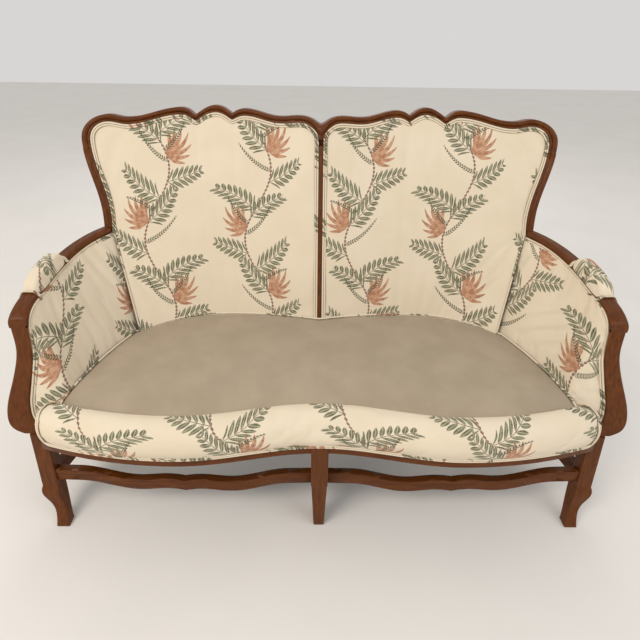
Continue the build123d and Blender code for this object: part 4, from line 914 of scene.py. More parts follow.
def closed_pad(front: Array, rear: Array, flat: Array) -> tuple[Array, Array, Array, Array]:
    """Join two grids along their borders into one closed pad.

    Args:
        front: The show face, shaped (rows, columns, 3).
        rear: The hidden face, shaped alike.
        flat: Cloth coordinates of the show face, shaped (rows, columns, 2).

    Returns:
        Points, quads, cloth coordinates and a flag per point that is tacked down.
    """
    rows, columns = front.shape[:2]
    count = rows * columns
    points = np.concatenate([front.reshape(-1, 3), rear.reshape(-1, 3)])
    ring = border_ring(rows, columns)
    after = np.roll(ring, -1)
    rim = np.stack([ring, after, after + count, ring + count], axis=1)
    quads = np.concatenate([grid_quads(rows, columns), grid_quads(rows, columns, count)[:, ::-1], rim])
    cloth = np.concatenate([flat.reshape(-1, 2)] * 2)
    tacked = np.concatenate([np.zeros(count, bool), np.ones(count, bool)])
    tacked[ring] = True
    return points, quads, cloth, tacked


def mirrored(points: Array, side: Side) -> Array:
    """Return points for one hand, from those drawn for the right hand."""
    return points * np.array([side.value, 1.0, 1.0])


@dataclass
class Welt:
    """A sewn cord, or two side by side, that lies along a path on the upholstery.

    The path and the directions off the cloth are drawn for the right hand and turned over
    for the left. Painted shade darkens each cord's sides towards the cloth, standing in for the
    shadow in the grooves: it is full where a cord's surface lies less than the span's first value,
    in radii, above its middle, and gone above its second.
    """

    name: str
    path: Array
    out: Array
    side: Side = Side.RIGHT
    cords: int = 2
    radius: float = 0.0028
    step: float = 0.004
    sides: int = 12
    closed: bool = False
    bias: Triple = (0.8, 0.6, 0.35)
    # Span of cord lift, in radii, over which the painted groove shade fades out.
    painted_groove_shade: tuple[float, float] = (0.12, 0.86)

    def cord(self, centre: Array, out: Array, across: Array, run: Array) -> tuple[Array, Array]:
        """Return the points and quads of one cord: a circle carried along, with round ends.

        Args:
            centre: The cord's centre line, shaped (n, 3).
            out: Unit vectors off the cloth, shaped alike.
            across: Unit vectors across the cord, shaped alike.
            run: Unit vectors along the cord, shaped alike.

        Returns:
            Points shaped (rings * sides, 3) and quads.
        """
        swell = np.full(len(centre), self.radius)
        if not self.closed:
            ends = ((0, -1), (-1, 1))
            tips = [
                [centre[at] + sign * share * self.radius * run[at] for share in (1.0, 0.7)]
                for at, sign in ends
            ]
            centre = np.concatenate([tips[0], centre, tips[1][::-1]])
            out = np.concatenate([out[:1], out[:1], out, out[-1:], out[-1:]])
            across = np.concatenate([across[:1], across[:1], across, across[-1:], across[-1:]])
            swell = np.concatenate([[0.0, 0.7 * self.radius], swell, [0.7 * self.radius, 0.0]])
        turn = np.linspace(0, 2 * np.pi, self.sides, endpoint=False)[None, :, None]
        ring = np.cos(turn) * out[:, None, :] + np.sin(turn) * across[:, None, :]
        points = centre[:, None, :] + swell[:, None, None] * ring
        rows = len(centre)
        number = np.arange(rows * self.sides).reshape(rows, self.sides)
        ahead = np.roll(number, -1, axis=0) if self.closed else number[1:]
        here = number if self.closed else number[:-1]
        quads = np.stack([here, ahead, np.roll(ahead, -1, axis=1), np.roll(here, -1, axis=1)], axis=-1)
        return points.reshape(-1, 3), quads.reshape(-1, 4)

    def build(self, shop: Workshop) -> bpy.types.Object:
        """Make the welt and dress it in printed cloth cut on the bias."""
        line = np.column_stack([mirrored(self.path, self.side), mirrored(self.out, self.side)])
        if self.closed:
            line = np.concatenate([line, line[:1]])
        line = spaced(line, self.step)
        if self.closed:
            line = line[:-1]
        centre, out = line[:, :3], unit(line[:, 3:])
        if self.closed:
            run = unit(np.roll(centre, -1, axis=0) - np.roll(centre, 1, axis=0))
        else:
            run = unit(np.gradient(centre, axis=0))
        across = unit(np.cross(run, out))
        out = unit(np.cross(across, run))
        offsets = (-1.0, 1.0) if self.cords == 2 else (0.0,)
        points, quads, start = [], [], 0
        for offset in offsets:
            made, faces = self.cord(centre + offset * self.radius * across, out, across, run)
            points.append(made)
            quads.append(faces + start)
            start += len(made)
        points = np.concatenate(points)
        along = points @ np.array(self.bias)
        upright = 0.7 * points[:, 2] + 0.4 * points[:, 0]
        turn = np.linspace(0, 2 * np.pi, self.sides, endpoint=False)
        lift = np.tile(np.cos(turn), len(points) // self.sides)
        # The third cloth coordinate is the share of painted groove shade on each cord's sides.
        flat = np.column_stack([along, upright, 1 - smooth_step(lift, *self.painted_groove_shade)])
        piece = shop.mesh_object(self.name, points, np.concatenate(quads), flat)
        shop.dress(piece, shop.printed, "print_fabric")
        return piece


@dataclass
class InsideBack:
    """One of the two concave back panels, with its welts."""

    side: Side
    columns: int = 96
    rows: int = 90
    top_guess: float = 0.86
    depth: float = 0.011
    pressure: float = 2.4
    cap: float = 0.013
    print_scale: tuple[float, float] = (1.03, 1.05)
    print_shift: tuple[float, float] = (0.035, 0.10)
    welt_inset: float = 0.0056
    welt_lift: float = 0.0012
    welt_out: Triple = (0.0, -1.0, 0.30)
    seam_lift: float = 0.001
    seam_out: Triple = (-0.72, -0.70, 0.0)

    def face(self) -> Array:
        """Return the right-hand show face, drawn between its stile, edge, deck and crest.

        A point's X is a share of the way from the centre stile to the outer edge at its
        height, and its Z a share of the way from the deck to the crest at its X. The two
        are settled by repeated substitution.

        Returns:
            Points shaped (rows, columns, 3).
        """
        across, up = np.meshgrid(np.linspace(0, 1, self.columns), np.linspace(0, 1, self.rows))
        start = PLAN.centre_stile_face / 2 + PAD_GAP
        z = blend(PLAN.soft_base, self.top_guess, up)
        for _ in range(SETTLE_ROUNDS):
            x = blend(start, PLAN.panel_edge(z)[0], across)
            z = blend(PLAN.soft_base, PLAN.panel_top(x, PLAN.crest_face, PLAN.stile_face), up)
        y = PLAN.wrapped(x, z, *PLAN.panel_edge(z))
        return np.stack([x, y, z], axis=-1)

    def welt_path(self) -> tuple[Array, Array]:
        """Return the welt's path up the centre stile, along the crest and down the outer stile.

        Returns:
            Places, rounded at the corners by averaging neighbours, and directions off the cloth.
        """
        inset = self.welt_inset
        start = PLAN.centre_stile_face / 2 + inset
        corner_x, corner_z = PLAN.crest_points[-1][1:]
        face = PLAN.crest_face + inset
        top = float(PLAN.panel_top(np.array(start), face, PLAN.stile_face))
        rise_z = np.linspace(PLAN.deck_z - 0.008, top - 0.006, 110)
        stem = np.stack([np.full_like(rise_z, start), rise_z], axis=1)
        top_x = np.linspace(start + 0.003, corner_x, 220)
        crest = np.stack([top_x, PLAN.panel_top(top_x, face, PLAN.stile_face)], axis=1)
        turn = np.linspace(0.05, np.pi / 2, 24)
        run = PLAN.stile_top[0] - PLAN.stile_face - inset - corner_x
        rise = corner_z - face - PLAN.stile_top[1]
        corner_path = [corner_x + run * np.sin(turn), PLAN.stile_top[1] + rise * np.cos(turn)]
        corner = np.stack(corner_path, axis=1)
        down = np.linspace(PLAN.stile_top[1] - 0.004, PLAN.junction[2] - 0.012, 70)
        stile = np.stack([PLAN.stile_x(down) - PLAN.stile_face - inset, down], axis=1)
        line = np.concatenate([stem, crest, corner, stile])
        line = spaced(np.column_stack([line[:, 0], 0 * line[:, 0], line[:, 1]]), 0.003)
        line = eased_corners(line, 6)
        x, z = line[:, 0], line[:, 2]
        path = np.column_stack([x, PLAN.wrapped(x, z, *PLAN.panel_edge(z)) - self.welt_lift, z])
        return path, np.tile(self.welt_out, (len(path), 1))

    def build(self, shop: Workshop) -> None:
        """Make the stuffed panel, its double welts and the seam's single welt."""
        front = mirrored(self.face(), self.side)
        rear = front + np.array([0.0, self.depth, 0.0])
        flat = front[..., [0, 2]] * np.array(self.print_scale) + np.array(self.print_shift)
        points, quads, cloth, tacked = closed_pad(front, rear, flat)
        piece = shop.mesh_object(f"inside_back_{self.side.word}", points, quads, cloth)
        shop.stuff(piece, tacked, self.pressure, self.cap)
        shop.refine(piece)
        shop.dress(piece, shop.printed, "print_fabric", f"back_panel_{self.side.word}")
        Welt(f"back_welt_{self.side.word}", *self.welt_path(), self.side).build(shop)
        z = np.linspace(PLAN.deck_z - 0.016, PLAN.junction[2] - 0.014, 80)
        x, y = PLAN.seam(z)
        path = np.column_stack([x - self.seam_lift, y - self.seam_lift, z])
        out = np.tile(self.seam_out, (len(path), 1))
        Welt(f"seam_welt_{self.side.word}", path, out, self.side, cords=1).build(shop)


@dataclass
class InsideArm:
    """One padded inside arm panel, with its double welt along arm rail and post."""

    side: Side
    toe_low: Triple = (0.664, -0.246, 0.270)
    toe_high: Triple = (0.682, -0.171, 0.452)
    toe_tuck: float = 0.006
    toe_start: float = 0.74
    columns: int = 80
    rows: int = 54
    depth: tuple[float, float] = (0.018, 0.004)
    crease_middle: tuple[float, float] = (-0.02, 0.43)
    crease_height: float = 0.0042
    pressure: float = 2.2
    cap: float = 0.011
    slack_left: float = 0.004
    slack_right: float = 0.012
    print_shift: tuple[float, float] = (0.11, 0.26)
    post_tuck: float = 0.001
    rail_tuck: float = 0.0016
    welt_drop: float = 0.0050
    welt_lift: float = 0.0020
    post_lift: Triple = (-0.0045, -0.0040, 0.0)
    post_out: Triple = (-0.68, -0.66, 0.30)

    def edges(self, count: int) -> tuple[Array, Array]:
        """Return the right-hand panel's lower and upper edges, from the back seam to the post."""
        share = np.array([-0.02, 0.25, 0.5, 0.75, 0.96])
        low_x, low_y = PLAN.deck_side(share)
        low = np.column_stack([low_x + PAD_GAP, low_y, np.full_like(low_x, PLAN.soft_base)])
        drop = np.array([0.0, 0.0, PLAN.arm_lip + PAD_GAP])
        inset = PLAN.arm_half(share)[:, None] - self.rail_tuck
        high = PLAN.arm_place(share) - PLAN.arm_out(share) * inset - drop
        low = np.concatenate([low, [self.toe_low]])
        high = np.concatenate([high, [self.toe_high]])
        return smooth_path(low, count), smooth_path(high, count)

    def creases(self, front: Array) -> Array:
        """Return how far the slack cloth of the right arm folds inwards, as slanting ridges."""
        if self.side is Side.LEFT:
            return np.zeros(front.shape[:2])
        y, z = front[..., 1] - self.crease_middle[0], front[..., 2] - self.crease_middle[1]
        slant = z * 0.80 + y * 0.60
        along = y * 0.80 - z * 0.60
        fade = np.exp(-((slant / 0.065) ** 2) - (along / 0.11) ** 2)
        ridges = np.sin(2 * np.pi * (slant / 0.042 + 0.5 * (along / 0.2) ** 2))
        return self.crease_height * fade * ridges

    def build(self, shop: Workshop) -> None:
        """Make the stuffed panel and its welt."""
        low, high = self.edges(self.columns)
        up = np.linspace(0, 1, self.rows)[:, None, None]
        front = blend(low[None], high[None], up)
        toe = smooth_step(np.linspace(0, 1, self.columns), self.toe_start, 1.0)[None, :, None]
        end = front[:, -1:]
        post_x, post_y = PLAN.arm_post_face(end[..., 2])
        goal = np.stack([post_x - self.post_tuck, post_y + self.toe_tuck, end[..., 2]], axis=-1)
        front = front + toe * (goal - end)
        lean = unit((high - low) * np.array([1.0, 1.0, 0.0]))[None]
        rear = front + lean * blend(*self.depth, up)
        edge = front[:, -1].copy()
        front = front - lean * self.creases(front)[..., None] * np.sin(np.pi * up)
        run = np.concatenate([[0.0], np.cumsum(np.linalg.norm(np.diff(low, axis=0), axis=1))])
        rise = np.linalg.norm(high - low, axis=1)
        flat = np.stack([np.broadcast_to(run, front.shape[:2]), up[..., 0] * rise[None]], axis=-1)
        front, rear = mirrored(front, self.side), mirrored(rear, self.side)
        flat = flat * np.array([self.side.value, 1.0]) + np.array(self.print_shift)
        points, quads, cloth, tacked = closed_pad(front, rear, flat)
        piece = shop.mesh_object(f"inside_arm_{self.side.word}", points, quads, cloth)
        slack = self.slack_right if self.side is Side.RIGHT else self.slack_left
        shop.stuff(piece, tacked, self.pressure, self.cap, slack)
        shop.refine(piece)
        shop.dress(piece, shop.printed, "print_fabric", f"arm_panel_{self.side.word}")
        path, out = self.welt_path(high, edge)
        Welt(f"arm_welt_{self.side.word}", path, out, self.side).build(shop)

    def welt_path(self, high: Array, edge: Array) -> tuple[Array, Array]:
        """Return the welt's path under the arm rail and down the post.

        Args:
            high: The panel's upper edge, from the back seam to the post.
            edge: The panel's front edge, from the seat rail upwards.

        Returns:
            Places, rounded at the corner, and the directions off the cloth there.
        """
        run = np.gradient(high, axis=0)
        inward = unit(np.column_stack([run[:, 1], -run[:, 0], 0 * run[:, 0]]))[2:-1]
        along = high[2:-1] - np.array([0.0, 0.0, self.welt_drop]) + self.welt_lift * inward
        down = edge[::-1][3:] + np.array(self.post_lift)
        off_rail = 0.95 * inward + np.array([0.0, 0.0, 0.25])
        out = np.concatenate([off_rail, np.tile(self.post_out, (len(down), 1))])
        line = spaced(np.column_stack([np.concatenate([along, down]), out]), 0.003)
        line = eased_corners(line, 8)
        return line[:, :3], line[:, 3:]


@dataclass
class ArmPad:
    """One stuffed pad on top of an arm rail, with a double welt across each end."""

    side: Side
    middle: float = 0.6875
    half_length: float = 0.1575
    half_width: float = 0.0255
    rise: float = 0.0280
    columns: int = 96
    settle: float = 0.75
    tack_height: float = 0.0035
    pressure: float = 2.0
    cap: float = 0.005
    print_scale: tuple[float, float] = (0.035, 0.09)
    print_left: tuple[float, float] = (0.14, 0.2)
    print_right: tuple[float, float] = (0.47, 0.2)
    top_gap: float = 0.0006
    under_share: float = 0.99
    welt_radius: float = 0.0026
    welt_lift: float = 0.0024
    welt_reach: float = 0.94
    welt_places: int = 40

    def outline(self, turn: Array) -> tuple[Array, Array]:
        """Return the foot's outline as shares along and across: a superellipse of power 4."""
        along = np.sign(np.cos(turn)) * np.abs(np.cos(turn)) ** 0.5
        across = np.sign(np.sin(turn)) * np.abs(np.sin(turn)) ** 0.5
        return along, across

    def rail_drop(self, offset: Array) -> Array:
        """Return how far the rail's rounded top lies below its crown at an offset."""
        past = np.clip(np.abs(offset) - (PLAN.arm_half(self.middle) - PLAN.arm_round), 0, PLAN.arm_round)
        return PLAN.arm_round - np.sqrt(PLAN.arm_round**2 - past**2)

    def place(self, along: Array, offset: Array, height: Array) -> Array:
        """Return points on the right arm rail from shares along it, offsets across and heights."""
        share = self.middle + self.half_length * along
        up = np.array([0.0, 0.0, 1.0])
        return PLAN.arm_place(share) + PLAN.arm_out(share) * offset[..., None] + up * height[..., None]

    def build(self, shop: Workshop) -> None:
        """Make the pad as rings from its crown to its foot, closed below, and its welts."""
        turn = np.linspace(0, 2 * np.pi, self.columns, endpoint=False)
        along, across = self.outline(turn)
        rings = np.concatenate([np.linspace(0, 0.9, 14), np.linspace(0.93, 1.0, 6)])[:, None]
        dome = self.rise * (1 - rings**3.4) ** 0.55
        offset = rings * across * self.half_width
        seat = self.settle * self.rail_drop(offset)
        top = self.place(rings * along, offset, dome - seat + self.top_gap)
        inner = self.under_share
        under = self.place(rings * along * inner, inner * offset, 0 * dome - seat + PAD_GAP)
        points = np.concatenate([top, under[::-1]])
        quads = tube_quads(*points.shape[:2])
        shares = np.stack([rings * across, rings * along], axis=-1)
        shift = self.print_left if self.side is Side.LEFT else self.print_right
        flat = np.concatenate([shares, shares[::-1]]) * np.array(self.print_scale) + np.array(shift)
        points = mirrored(points.reshape(-1, 3), self.side)
        piece = shop.mesh_object(f"arm_cushion_{self.side.word}", points, quads, flat.reshape(-1, 2))
        places = vertex_values(piece.data)
        shares = np.linspace(0.3, 1.1, 81)
        rail = PLAN.arm_place(shares)
        share = np.interp(-places[:, 1], -rail[:, 1], shares)
        tacked = places[:, 2] < PLAN.arm_place(share)[:, 2] + self.tack_height
        shop.stuff(piece, tacked, self.pressure, self.cap)
        shop.refine(piece)
        shop.dress(piece, shop.printed, "print_fabric", f"arm_pad_{self.side.word}")
        for end, word in ((-1.0, "rear"), (1.0, "front")):
            shares = np.linspace(-self.welt_reach, self.welt_reach, self.welt_places)
            offset = shares * self.half_width
            height = self.welt_lift - self.rail_drop(offset)
            path = self.place(np.full_like(offset, end), offset, height)
            out = np.column_stack([0.5 * offset / self.half_width, 0 * offset, np.ones_like(offset)])
            name = f"arm_cushion_welt_{word}_{self.side.word}"
            Welt(name, path, out, self.side, radius=self.welt_radius).build(shop)


@dataclass
class FrontRoll:
    """The padded roll over the front rail, with a double welt along its foot and round its ends."""

    end_x: float = 0.647
    end_radius: float = 0.060
    end_inset: float = 0.011
    end_share: float = 0.3
    proud: float = 0.015
    top: float = 0.374
    skin_places: int = 34
    pressure: float = 2.2
    cap: float = 0.008
    slack: float = 0.004
    print_shift: tuple[float, float] = (0.06, 0.13)
    tack_foot: float = 0.003
    tack_base: float = 0.002
    tack_end: float = 0.004
    tack_rear: float = 0.001
    welt_radius: float = 0.0030
    welt_lift: float = 0.0016
    welt_rise: float = 0.0050
    welt_proud: float = 0.0042

    def foot(self, x: Array) -> tuple[Array, Array]:
        """Return Y and Z of the rebate above the front rail's lip, where the roll starts."""
        return PLAN.front_line(x) + PLAN.lip_step - PAD_GAP, np.full_like(x, PLAN.lip_top + PAD_GAP)

    def profile(self, x: Array) -> Array:
        """Return the way points of the roll's slices: foot, nose, shoulder, crown and rear.

        Args:
            x: Slice places, shaped (n,).

        Returns:
            Y and Z of each way point, shaped (n, k, 2).
        """
        past = np.maximum(0, np.abs(x) - (self.end_x - self.end_radius)) / self.end_radius
        full = self.end_share + (1 - self.end_share) * np.sqrt(np.maximum(0, 1 - past**2))
        base, low = self.foot(x)
        rise = self.top - PLAN.soft_base
        reach = PLAN.lip_step + self.proud
        half_rail = PLAN.front_rail_thick / 2
        rear = base + half_rail + full * (PLAN.roll_depth - half_rail - PLAN.lip_step)
        shoulder_y = base - 0.5 * full * reach
        shoulder_z = PLAN.soft_base + 0.70 * full * rise
        ways = [
            (base - full * PLAN.lip_step, low),
            (base - 0.62 * full * reach, blend(low, shoulder_z, 0.16)),
            (base - full * reach, blend(low, shoulder_z, 0.45)),
            (base - 0.86 * full * reach, blend(low, shoulder_z, 0.78)),
            (shoulder_y, shoulder_z),
            (blend(shoulder_y, rear, 0.45), PLAN.soft_base + full * rise),
            (rear, PLAN.soft_base + 0.86 * full * rise),
        ]
        return np.stack([np.stack(way, axis=-1) for way in ways], axis=1)

    def build(self, shop: Workshop) -> None:
        """Make the stuffed roll with its hidden underside, and its welt."""
        straight = np.linspace(0, self.end_x - self.end_radius, 92)
        rounding = self.end_x - self.end_radius * (1 - np.sin(np.linspace(0, np.pi / 2, 14)[1:]))
        half = np.concatenate([straight, rounding])
        x = np.concatenate([-half[:0:-1], half])
        skin = smooth_path(self.profile(x), self.skin_places)
        base, low = self.foot(x)
        floor = np.full_like(x, PLAN.soft_base)
        inner = [(skin[:, -1, 0], floor), (base, floor), (base, low)]
        hidden = np.stack([np.stack(way, axis=-1) for way in inner], axis=1)
        loop = np.concatenate([skin, hidden], axis=1)
        rows, columns = loop.shape[:2]
        points = np.concatenate([np.broadcast_to(x[:, None, None], (rows, columns, 1)), loop], axis=-1)
        caps = points[[0, -1]].mean(axis=1, keepdims=True).repeat(columns, axis=1)
        points = np.concatenate([caps[:1], points, caps[1:]])
        quads = tube_quads(rows + 2, columns)
        girth = np.concatenate([np.linspace(0, 0.17, self.skin_places), [0.19, 0.21, 0.23]])
        length = np.concatenate([x[:1], x, x[-1:]])
        flat = np.stack(np.broadcast_arrays(length[:, None], girth[None]), axis=-1)
        flat = (flat + np.array(self.print_shift)).reshape(-1, 2)
        piece = shop.mesh_object("front_edge_roll", points.reshape(-1, 3), quads, flat)
        spot = vertex_values(piece.data)
        behind = spot[:, 1] > PLAN.front_line(spot[:, 0]) + PLAN.lip_step - self.tack_rear
        tacked = spot[:, 2] < PLAN.lip_top + self.tack_foot
        tacked |= behind & (spot[:, 2] < PLAN.soft_base + self.tack_base)
        tacked |= np.abs(spot[:, 0]) > self.end_x - self.tack_end
        shop.stuff(piece, tacked, self.pressure, self.cap, self.slack)
        shop.refine(piece)
        shop.dress(piece, shop.printed, "print_fabric", "front_roll")
        self.band(shop, piece)

    def climb(self, piece: bpy.types.Object) -> tuple[Array, Array]:
        """Return the way up the roll's right end to the deck's corner, on the stuffed cloth.

        Args:
            piece: The stuffed roll.

        Returns:
            Places and the directions off the cloth there, each shaped (n, 3).
        """
        spot, off = vertex_values(piece.data), vertex_values(piece.data, "normal")
        slice_x = self.end_x - self.end_inset
        section = smooth_path(self.profile(np.array([slice_x])), 26)[0][2:]
        goal = np.column_stack([np.full(len(section), slice_x), section])
        inwards = np.linspace(slice_x, PLAN.deck_side_end[0] - 0.002, 6)[1:]
        goal = np.concatenate([goal, np.column_stack([inwards, self.profile(inwards)[:, -1]])])
        near = np.linalg.norm(goal[:, None] - spot[None], axis=-1).argmin(axis=1)
        return spot[near] + self.welt_lift * off[near], off[near]

    def band(self, shop: Workshop, piece: bpy.types.Object) -> None:
        """Make the broad double welt along the roll's foot and up round its ends."""
        reach = self.end_x - self.end_inset - 0.004
        x = np.linspace(-reach, reach, 260)
        foot_z = np.full_like(x, PLAN.lip_top + self.welt_rise)
        foot = np.column_stack([x, PLAN.front_line(x) - self.welt_proud, foot_z])
        heart = np.column_stack([np.clip(x, -0.60, 0.60), foot[:, 1] + 0.03, foot[:, 2] + 0.004])
        rise = np.column_stack(self.climb(piece))
        left = rise[::-1] * np.array([-1.0, 1.0, 1.0, -1.0, 1.0, 1.0])
        level = np.column_stack([foot, unit(foot - heart)])
        line = eased_corners(spaced(np.concatenate([left, level, rise]), 0.004), 6)
        Welt("roll_band", line[:, :3], line[:, 3:], radius=self.welt_radius).build(shop)


@dataclass
class SeatDeck:
    """The plain cloth over the seat pad, with piping round it."""

    columns: int = 150
    rows: int = 50
    depth_guess: tuple[float, float] = (-0.26, 0.10)
    under_roll: float = 0.004
    rear_drop: float = 0.012
    edge_gap: float = 0.001
    base_gap: float = 0.0005
    tuck_depth: float = 0.006
    crease_depth: float = 0.0022
    crease_width: float = 0.012
    pressure: float = 1.0
    cap: float = 0.006
    slack: float = 0.003
    welt_radius: float = 0.0030
    welt_lift: float = 0.0028

    def front_edge(self, x: Array) -> Array:
        """Return the Y where the deck meets the roll."""
        return PLAN.front_line(x) + PLAN.roll_depth - self.under_roll

    def rear_edge(self, x: Array) -> Array:
        """Return the Y where the deck meets the back panels."""
        z = np.full_like(x, PLAN.deck_z - self.rear_drop)
        return PLAN.wrapped(x, z, *PLAN.panel_edge(z)) - self.edge_gap

    def side_edge(self, y: Array) -> Array:
        """Return the half-breadth at a Y: the arm panels' feet, then straight to the roll."""
        share = np.clip((y - PLAN.seam_foot[1]) / (PLAN.deck_side_end[1] - PLAN.seam_foot[1]), 0, 1)
        return PLAN.deck_side(share)[0] - self.edge_gap

    def face(self) -> Array:
        """Return the deck's top, drawn between roll, back and arms by repeated substitution."""
        across, back = np.meshgrid(np.linspace(-1, 1, self.columns), np.linspace(0, 1, self.rows))
        y = blend(*self.depth_guess, back)
        for _ in range(SETTLE_ROUNDS):
            x = across * self.side_edge(y)
            y = blend(self.front_edge(x), self.rear_edge(x), back)
        edge = np.minimum(1 - np.abs(across), np.minimum(back, 1 - back) * 2.2)
        tuck = self.tuck_depth * (1 - smooth_step(edge, 0.0, 0.10))
        crease = self.crease_depth * np.exp(-((x / self.crease_width) ** 2))
        crease = crease * smooth_step(back, 0.02, 0.25) * (1 - smooth_step(back, 0.55, 0.95))
        return np.stack([x, y, PLAN.deck_top(x, y) - tuck - crease], axis=-1)

    def build(self, shop: Workshop) -> None:
        """Make the stuffed deck and the piping along arms and back."""
        top = self.face()
        under = top.copy()
        under[..., 2] = PLAN.soft_base + self.base_gap
        points, quads, cloth, tacked = closed_pad(top, under, top[..., :2])
        piece = shop.mesh_object("deck_cover", points, quads, cloth)
        shop.stuff(piece, tacked, self.pressure, self.cap, self.slack)
        shop.refine(piece)
        shop.dress(piece, shop.deck, "deck_cloth", "seat_deck")
        left, right = top[2:, 0], top[2:, -1]
        path = np.concatenate([left, top[-1, 1:-1], right[::-1]])
        heart_x = np.clip(path[:, 0], -0.40, 0.40)
        heart = np.column_stack([heart_x, 0.6 * path[:, 1] - 0.05, path[:, 2] - 0.05])
        out = unit(heart - path) + np.array([0.0, 0.0, 1.2])
        path = path + np.array([0.0, 0.0, self.welt_lift])
        Welt("deck_piping", path, unit(out), cords=1, radius=self.welt_radius).build(shop)


@dataclass
class OutsideCovers:
    """The cloth behind the back and outside the arms, and the lining under the seat."""

    margin: float = 0.009
    thick: float = 0.002
    pressure: float = 0.35
    cap: float = 0.003
    welt_radius: float = 0.0022
    back_columns: int = 80
    back_rows: int = 96
    back_guess: float = 0.88
    back_print_scale: tuple[float, float] = (-1.0, 1.05)
    back_print_shift: tuple[float, float] = (0.22, 0.03)
    rail_lean: float = 0.010
    arm_columns: int = 70
    arm_rows: int = 54
    arm_guess: float = 0.56
    arm_flare: float = 0.018
    arm_print_rise: float = 1.04
    arm_print_shift: tuple[float, float] = (0.31, 0.09)
    post_cover: float = 0.008
    post_tuck: float = 0.001
    side_rail_y: tuple[float, float] = (-0.228, 0.1388)
    side_rail_x: tuple[float, float] = (0.6598, 0.5928)

    def back_face(self) -> Array:
        """Return the right-hand outside back, from the rail's foot to just inside the crest."""
        columns, rows = self.back_columns, self.back_rows
        across, up = np.meshgrid(np.linspace(0, 1, columns), np.linspace(0, 1, rows))
        z = blend(PLAN.rail_bottom, self.back_guess, up)
        for _ in range(SETTLE_ROUNDS):
            x = blend(PAD_GAP, PLAN.post_edge(z)[0] - self.margin, across)
            z = blend(PLAN.rail_bottom, PLAN.panel_top(x, self.margin, self.margin), up)
        shift = PLAN.show_depth + COVER_GAP
        y = PLAN.wrapped(x, z, *PLAN.post_edge(z)) + shift
        rail_z = np.full_like(z, PLAN.rail_top)
        rail = PLAN.wrapped(x, rail_z, *PLAN.post_edge(rail_z)) + shift
        share = (np.minimum(z, rail_z) - PLAN.rail_bottom) / (PLAN.rail_top - PLAN.rail_bottom)
        y = np.where(z < rail_z, blend(np.maximum(y, rail - self.rail_lean), rail, share), y)
        return np.stack([x, y, z], axis=-1)

    def build_back(self, shop: Workshop, side: Side) -> None:
        """Make one stretched outside back and the welt round it."""
        face = mirrored(self.back_face(), side)
        rear = face + np.array([0.0, self.thick, 0.0])
        flat = face[..., [0, 2]] * np.array(self.back_print_scale) + np.array(self.back_print_shift)
        points, quads, cloth, tacked = closed_pad(rear, face, flat)
        piece = shop.mesh_object(f"outer_back_{side.word}", points, quads, cloth)
        shop.stuff(piece, tacked, self.pressure, self.cap)
        shop.refine(piece)
        shop.dress(piece, shop.printed, "print_fabric", f"outside_back_{side.word}")
        self.edge_welt(shop, f"outer_back_welt_{side.word}", rear, (0.0, 0.0012, 0.0), (0.0, 1.0, -0.25))

    def edge_welt(self, shop: Workshop, name: str, face: Array, lift: Triple, out: Triple) -> None:
        """Make the single welt round a cover.

        Args:
            shop: The workshop.
            name: The welt's name.
            face: The cover's outer face, shaped (rows, columns, 3).
            lift: How far the welt's middle lies off that face.
            out: The direction off the cloth.
        """
        path = face.reshape(-1, 3)[border_ring(*face.shape[:2])] + np.array(lift)
        off = np.tile(out, (len(path), 1))
        Welt(name, path, off, cords=1, radius=self.welt_radius, closed=True).build(shop)

    def arm_face(self) -> Array:
        """Return the right-hand outside arm, from the side rail's foot to the arm rail.

        A point's Y is a share of the way from the back post to the arm post at its height,
        and its Z a share of the way from the rail's foot to the arm rail at its Y.

        Returns:
            Points shaped (rows, columns, 3).
        """
        columns, rows = self.arm_columns, self.arm_rows
        along, up = np.meshgrid(np.linspace(0, 1, columns), np.linspace(0, 1, rows))
        shares = np.linspace(-0.1, 1.1, 61)
        rail = PLAN.arm_place(shares)
        z = blend(PLAN.rail_bottom, self.arm_guess, up)
        for _ in range(SETTLE_ROUNDS):
            front = PLAN.arm_post_face(z)[1] + PLAN.arm_post_depth + COVER_GAP
            y = blend(PLAN.post_edge(z)[1] - COVER_GAP, front, along)
            share = np.interp(-y, -rail[:, 1], shares)
            top = PLAN.arm_place(share)[..., 2] - PLAN.arm_height - COVER_GAP
            z = blend(PLAN.rail_bottom, top, up)
        foot_x = np.interp(y, self.side_rail_y, self.side_rail_x)
        top_x = PLAN.arm_place(share)[..., 0] + blend(0.0, self.arm_flare, share)
        x = blend(foot_x, top_x, up)
        post_x = PLAN.arm_post_face(z)[0] + self.post_cover
        x = blend(x, np.maximum(x, post_x), smooth_step(along, 0.70, 1.0))
        x = blend(PLAN.post_edge(z)[0] - self.post_tuck, x, smooth_step(along, 0.0, 0.30))
        return np.stack([x, y, z], axis=-1)

    def build_arm(self, shop: Workshop, side: Side) -> None:
        """Make one stretched outside arm and the welt round it."""
        inner = self.arm_face()
        scale = np.array([-side.value, self.arm_print_rise])
        flat = inner[..., [1, 2]] * scale + np.array(self.arm_print_shift)
        face = mirrored(inner + np.array([self.thick, 0.0, 0.0]), side)
        points, quads, cloth, tacked = closed_pad(face, mirrored(inner, side), flat)
        piece = shop.mesh_object(f"outer_arm_{side.word}", points, quads, cloth)
        shop.stuff(piece, tacked, self.pressure, self.cap)
        shop.refine(piece)
        shop.dress(piece, shop.printed, "print_fabric", f"outside_arm_{side.word}")
        out = (float(side.value), 0.0, -0.2)
        self.edge_welt(shop, f"outer_arm_welt_{side.word}", face, (0.0, 0.0, 0.0), out)

    def build_lining(self, shop: Workshop) -> None:
        """Show the flat lining under the seat and the webbing inside it."""
        piece = shop.smooth_copy("dust_cover", "seat_lining", shop.lining, "lining")
        for way in ("across", "along"):
            shop.smooth_copy(f"seat_webbing_{way}", f"webbing_{way}", shop.jute, "webbing")


